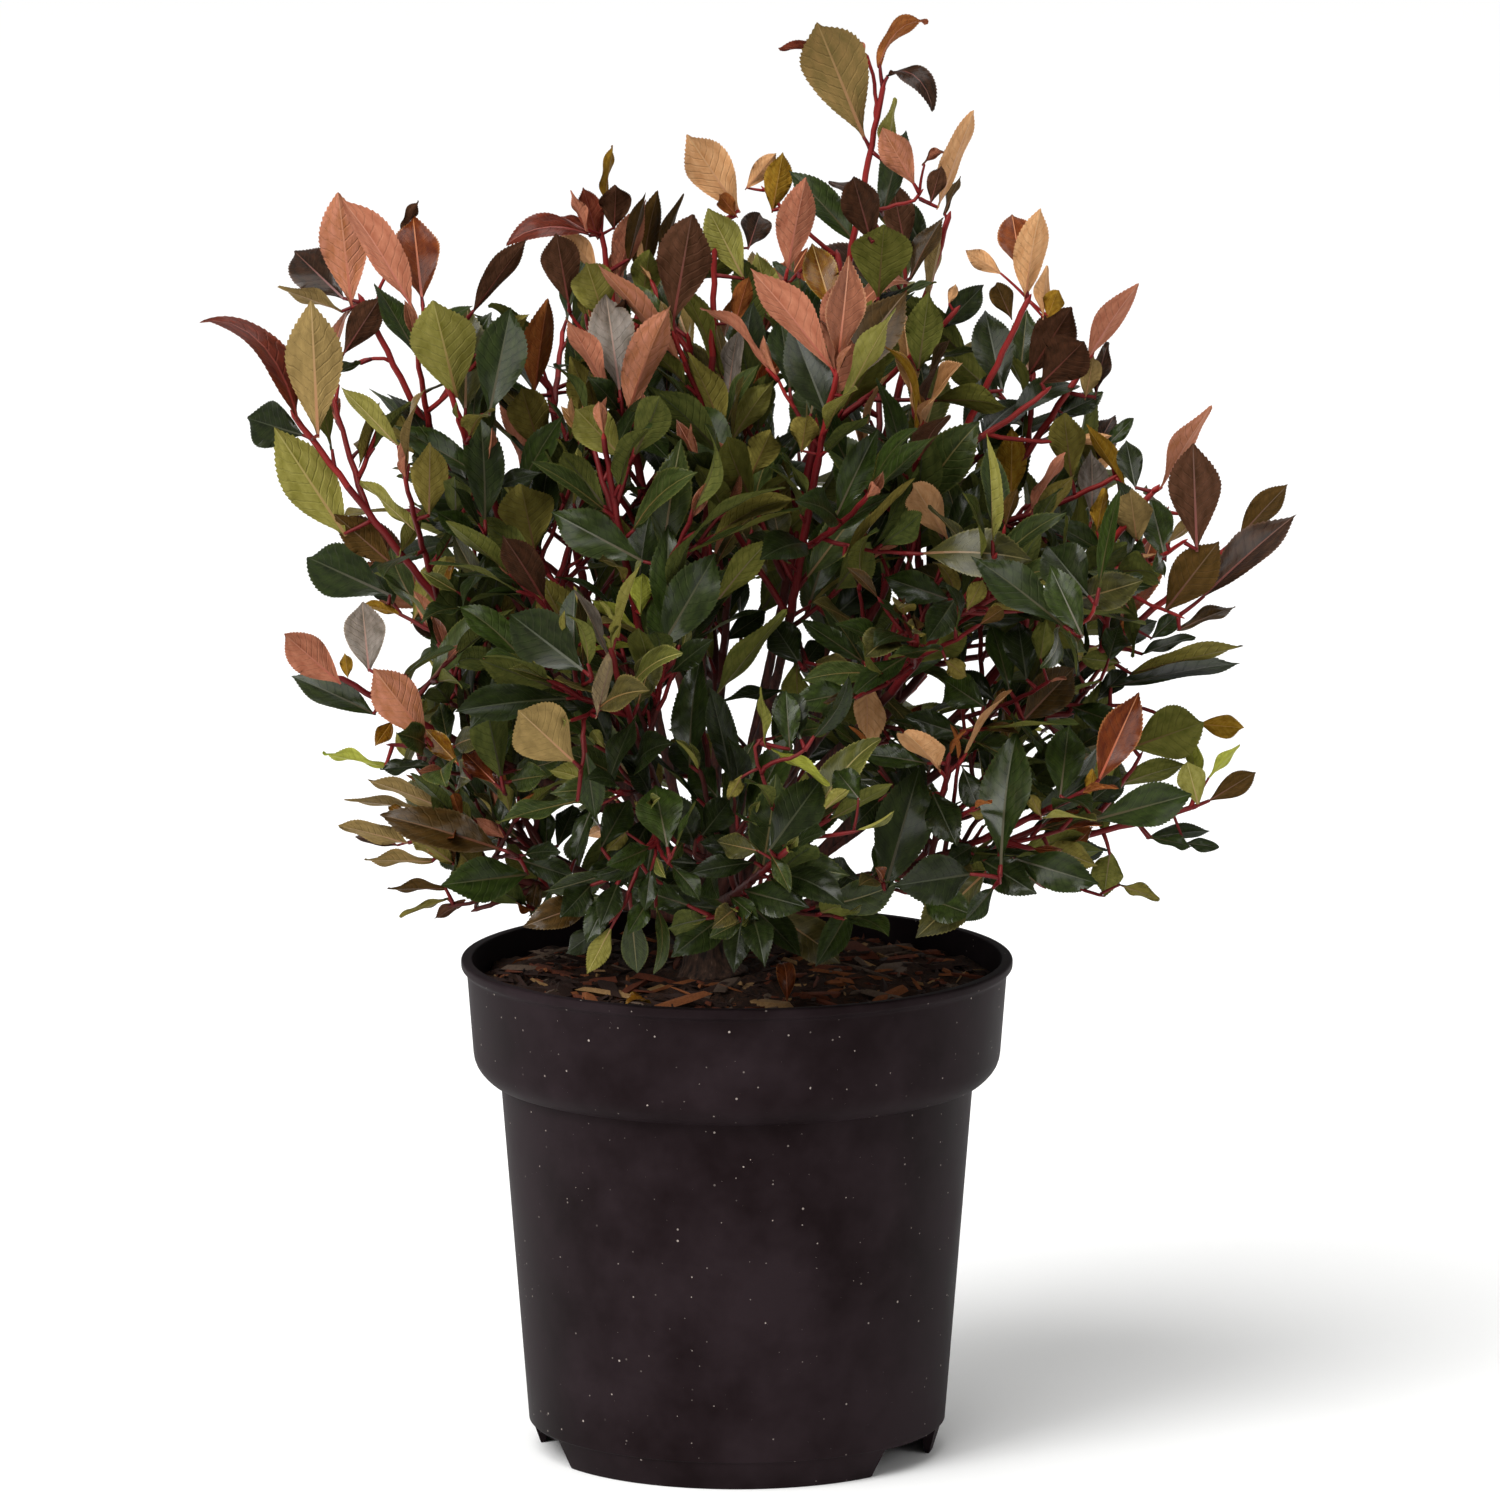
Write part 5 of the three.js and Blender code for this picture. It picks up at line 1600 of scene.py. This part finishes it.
# Young bark is told by its distance from the trunk's top: it starts to turn red here, over this much. Nearer
# the trunk it stays wine red, older bark and also painted shade
RED_FROM, RED_OVER = 95, 110
kept_share = [0.0] * len(shoots)
for hue, blade, ways, base, foot, share, number in leaves:
    kept_share[number] = max(kept_share[number], share)
for number in reversed(range(len(shoots))):
    if kept_share[number] and shoots[number]["root"]:
        carrier, share = shoots[number]["root"]
        kept_share[carrier] = max(kept_share[carrier], share)
stalks, stalk_slots = [], []
for shoot, kept in zip(shoots, kept_share):
    if not kept:
        continue
    line = stretch(shoot["line"], 0, min(1, kept + 0.01))
    steps = max(4, int(length_of(line) / (3 if shoot["order"] == OWN_TWIG else 5)))
    line = evenly(line, steps)
    # The stem turns a little at each leaf
    for row in range(1, steps):
        line[row] += round_axis(heading(shoot["line"], kept * row / steps), row * TWIG_TURN) * 0.25
    thick, thin = SHOOT_RADII[shoot["order"]]
    radii = thick + (thin - thick) * np.linspace(0, kept, steps + 1)
    line = np.concatenate([line, [line[-1] + unit(line[-1] - line[-2]) * BUD_LENGTH]])
    radii = np.append(radii, BUD_TIP)
    points, faces = tube(line, radii, SHOOT_SIDES[shoot["order"]])
    stalks.append((points, faces))
    from_trunk = np.linalg.norm(points[faces].mean(1) - trunk_point(1), axis=1)
    late = np.clip((from_trunk - RED_FROM) / RED_OVER, 0, 1)
    stalk_slots.append(np.where(late < 0.12, 0, np.where(late < 0.8, 1, 2)))
for hue, blade, ways, base, foot, share, number in leaves:
    # A new or fallen leaf has no stalk
    if np.linalg.norm(base - foot) < 2:
        continue
    start = foot + unit(base - foot) * 0.5
    middle = (start + base) / 2 + heading(shoots[number]["line"], share) * 0.35
    line = bezier(start, middle, base + ways[1] * 1.0)[::50]
    points, faces = tube(line, np.linspace(*STALK_RADII, 5) * (1.0 if blade[0] > SMALL_LEAF else 0.7), 5)
    stalks.append((points, faces))
    stalk_slots.append(np.full(len(faces), 2 if hue in ("salmon", "lime", "gold", "tan") else 1))
stalk_piece = mesh_piece(
    "red_shoots_and_leaf_stalks",
    *joined(stalks),
    shoot_barks,
    np.concatenate(stalk_slots),
)
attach(stalk_piece, "root")
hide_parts(*[f"foliage_{limb.name}" for limb in LIMBS])


# The leaves' skins and pieces
# Grown leaves are waxy and dark above and matt and paler below, young ones are bronze, salmon or
# golden. Leaves of near hues are joined into one piece, and each keeps its own tones.
def leaf_skin(name, ground, second, vein, margin, rough, gloss):
    """One side of a blade: a waxy skin mottled in two near tones, the lighter partly painted sheen, with side
    veins and a pale toothed edge.
    """
    material, node = new_material(name)
    local = node("UVMap", uv_map="Leaf")
    parts = node("SeparateXYZ", {"Vector": local})
    along = parts.outputs[1]
    from_rib = node("Math", {0: parts, 1: 0.5}, operation="SUBTRACT")
    across = node("Math", {0: from_rib, 1: 2.0}, operation="MULTIPLY")
    share = node("Math", {0: across}, operation="ABSOLUTE")
    mottle = node("TexNoise", {"Vector": local, "Scale": 5.0, "Detail": 5.0, "Roughness": 0.6})
    # Side veins leave the midrib 3.6 mm apart, sweep forward to the edge and waver a little
    sweep = node("Math", {0: share, 1: -0.17, 2: along}, operation="MULTIPLY_ADD")
    swayed = node("Math", {0: mottle, 1: 0.07, 2: sweep}, operation="MULTIPLY_ADD")
    counted = node("Math", {0: swayed, 1: 11.0}, operation="MULTIPLY")
    part = node("Math", {0: counted}, operation="FRACT")
    centred = node("Math", {0: part, 1: 0.5}, operation="SUBTRACT")
    off = node("Math", {0: centred}, operation="ABSOLUTE")
    veins = node("MapRange", {"Value": off, 1: 0.0, 2: 0.13, 3: 1.0, 4: 0.0})
    # The lighter tone lies in patches: partly the leaf's own mottling, partly painted sheen
    clear = node("MapRange", {"Value": mottle, 1: 0.36, 2: 0.64, 3: -0.25, 4: 1.2}, clamp=False)
    skin = node(
        "Mix",
        {"Factor": clear, 6: linear(ground), 7: linear(second)},
        data_type="RGBA",
        clamp_factor=False,
    )
    weak = node("Math", {0: veins, 1: 0.2}, operation="MULTIPLY")
    veined = node("Mix", {"Factor": weak, 6: skin.outputs[2], 7: linear(vein)}, data_type="RGBA")
    # The edge is paler over its last half millimetre
    rim = node("MapRange", {"Value": share, 1: 0.9, 2: 1.0, 3: 0.0, 4: 0.75})
    edged = node("Mix", {"Factor": rim, 6: veined.outputs[2], 7: linear(margin)}, data_type="RGBA")
    sunk = node("Math", {0: veins, 1: -0.35, 2: mottle}, operation="MULTIPLY_ADD")
    relief = node("Bump", {"Height": sunk, "Strength": 0.6, "Distance": 0.0012})
    waxy = node(
        "BsdfPrincipled",
        {
            "Base Color": edged.outputs[2],
            "Roughness": rough,
            "IOR": 1.45,
            "Specular IOR Level": 0.1,
            "Specular Tint": linear("#ffecc0"),
            "Coat Weight": gloss,
            "Coat Roughness": 0.2,
            "Normal": relief,
        },
    )
    node("OutputMaterial", {"Surface": waxy})
    return material


def midrib(name, tone, second):
    """The midrib: a smooth fleshy strip, paler or redder than the blade."""
    material, node = new_material(name)
    fade = node("SeparateXYZ", {"Vector": node("UVMap", uv_map="Leaf")})
    tint = node("Mix", {"Factor": fade.outputs[1], 6: linear(tone), 7: linear(second)}, data_type="RGBA")
    fleshy = node("BsdfPrincipled", {"Base Color": tint.outputs[2], "Roughness": 0.45, "IOR": 1.45})
    node("OutputMaterial", {"Surface": fleshy})
    return material


# Each kind of leaf in its tones: upper side and its second tone, underside and its second tone,
# midrib at the stalk and at the tip. A second tone gives the lighter patches of the mottle, partly painted
# sheen
LEAF_KINDS = {
    # The dark kind's undersides are its own paler green darkened with painted shade, as they face down, away
    # from the light
    "deep": (
        ("#121a08", "#1c250d", "#343c1a", "#444a22", "#33331a", "#272f17"),
        ("#17210a", "#232e10", "#3e441e", "#4e5226", "#3b321a", "#2e361a"),
        ("#1d280b", "#2a3712", "#484c22", "#585a2a", "#44361c", "#384020"),
    ),
    "mid": (
        ("#222c12", "#303a1a", "#4e5020", "#5e5e2a", "#604a26", "#565a2a"),
        ("#2a3414", "#3a441f", "#585824", "#68662e", "#664626", "#5e5e2c"),
    ),
    "old": (
        ("#323116", "#42401e", "#655c28", "#766c32", "#6e4626", "#6b6436"),
        ("#3a3418", "#4a4220", "#6d602a", "#7e7036", "#764a28", "#736438"),
    ),
    "pale": (
        ("#464a1e", "#585a28", "#767032", "#867f40", "#8e6a3c", "#999250"),
        ("#505222", "#62622c", "#7f7a38", "#8f8a48", "#96744a", "#a29c58"),
    ),
    "lime": (("#76841e", "#8c982a", "#96993a", "#aaac48", "#9c9850", "#a8a850"),),
    "olive_tan": (
        ("#584a24", "#6a5830", "#78643a", "#886e42", "#94643e", "#9a8050"),
        ("#604e28", "#705c34", "#806a40", "#90784a", "#9c6844", "#a08656"),
    ),
    "tan": (
        ("#7c5630", "#90683c", "#c08c5e", "#ce9c6e", "#b87a54", "#c8a070"),
        ("#744e2e", "#88603c", "#b58357", "#c49468", "#b0704e", "#c09468"),
    ),
    "salmon": (
        ("#7a4630", "#8c543c", "#aa6c4c", "#ba7a60", "#b05a42", "#c08a68"),
        ("#6a3a28", "#7c4834", "#a2624a", "#b27258", "#a85240", "#b88064"),
    ),
    "ember": (
        ("#521f0b", "#682e10", "#804420", "#92562a", "#a0442a", "#ac6e40"),
        ("#5c280f", "#723614", "#8a4e26", "#9c6032", "#a44c2e", "#b47848"),
    ),
    "wine": (
        ("#4a1a10", "#602416", "#703022", "#84422f", "#7c241e", "#7c4434"),
        ("#541e10", "#6c2c18", "#7c3a28", "#904c36", "#86281e", "#864c3a"),
    ),
    "gold": (("#5e3606", "#744c0a", "#845f18", "#987426", "#96601e", "#a8883c"),),
    "umber": (("#30210b", "#402c11", "#422f12", "#50391a", "#602f1c", "#5a482c"),),
    "plum": (
        ("#1f120b", "#301c12", "#362116", "#482c1e", "#6a2822", "#52382a"),
        ("#28170e", "#3a2417", "#42291b", "#533526", "#742e26", "#5c4232"),
    ),
    # The grey kind is a dark waxy leaf with its glossy sheen painted into its colours: a painted reflection,
    # not a tone of its own
    "dusk": (("#60574e", "#766b62", "#86745a", "#94815f", "#7c4c40", "#8a7a68"),),
}
# Young leaves have veins in the tone of their underside, grown ones in that of their midrib's tip
YOUNG_KINDS = ("salmon", "ember", "plum", "tan", "dusk", "wine")
# Each piece's kinds, its slot and whether it takes the lower (-1) or the upper half (1) of its leaves
LEAF_PIECES = (
    ("dark_green_leaves_low", ("deep",), "foliage_green", -1),
    ("dark_green_leaves_high", ("deep",), "foliage_green", 1),
    ("green_leaves", ("mid", "old"), "foliage_green", 0),
    ("pale_leaves", ("pale", "lime", "olive_tan"), "foliage_green", 0),
    ("bronze_leaves", ("plum", "dusk", "ember", "umber", "wine"), "foliage_bronze", 0),
    ("salmon_leaves", ("salmon", "tan", "gold"), "foliage_bronze", 0),
)
split_height = float(np.median([base[2] for hue, _, _, base, _, _, _ in leaves if hue == "deep"]))
# A leaf's own map: from its left edge over the midrib to its right edge, and from its foot to its tip
own_map = 0.5 + template[:, 1] / 2 + template[:, 2] * (template[:, 4] == 1) * 0.05
own_map = np.stack([own_map, template[:, 0]], 1)[blade_faces]
for piece_name, kinds, slot, part in LEAF_PIECES:
    materials, cells = [], {}
    for kind in kinds:
        for tone, (upper, upper_two, under, under_two, rib, rib_two) in enumerate(LEAF_KINDS[kind]):
            name = f"{kind}_leaf_{tone}"
            cells[kind, tone] = len(materials)
            vein = under if kind in YOUNG_KINDS else rib_two
            materials += [
                leaf_skin(f"waxy_{name}_upper", upper, upper_two, vein, rib_two, 0.42, 0.24),
                leaf_skin(f"matt_{name}_underside", under, under_two, rib_two, under_two, 0.62, 0.0),
                midrib(f"fleshy_{name}_midrib", rib, rib_two),
            ]
    # In the second map each material has a cell of its own
    points, faces, slots, bake_map = [], [], [], []
    columns = math.ceil(math.sqrt(len(materials)))
    for number, (hue, blade, ways, base, foot, share, shoot_number) in enumerate(leaves):
        if hue not in kinds or (part and (base[2] > split_height) != (part > 0)):
            continue
        own_slots = blade_slots + cells[hue, number % len(LEAF_KINDS[hue])]
        faces.append(blade_faces + len(template) * len(points))
        points.append(blade_points(blade, template) @ ways + base)
        slots.append(own_slots)
        corner = np.stack([own_slots[:, None] % columns, own_slots[:, None] // columns], 2)
        bake_map.append((corner + 0.04 + own_map * 0.92) / columns)
    edge_points, rib_points = np.tile(on_edge, len(points)), np.tile(on_rib, len(points))
    piece = mesh_piece(
        piece_name,
        np.concatenate(points),
        np.concatenate(faces),
        materials,
        np.concatenate(slots),
        sharp=lambda ends: edge_points[ends].all(1) | rib_points[ends].all(1),
        maps=(("Leaf", np.tile(own_map, (len(points), 1, 1))), ("OFBake", np.concatenate(bake_map))),
    )
    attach(piece, "root")
    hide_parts(*[f"foliage_{limb.name}" for limb in LIMBS])
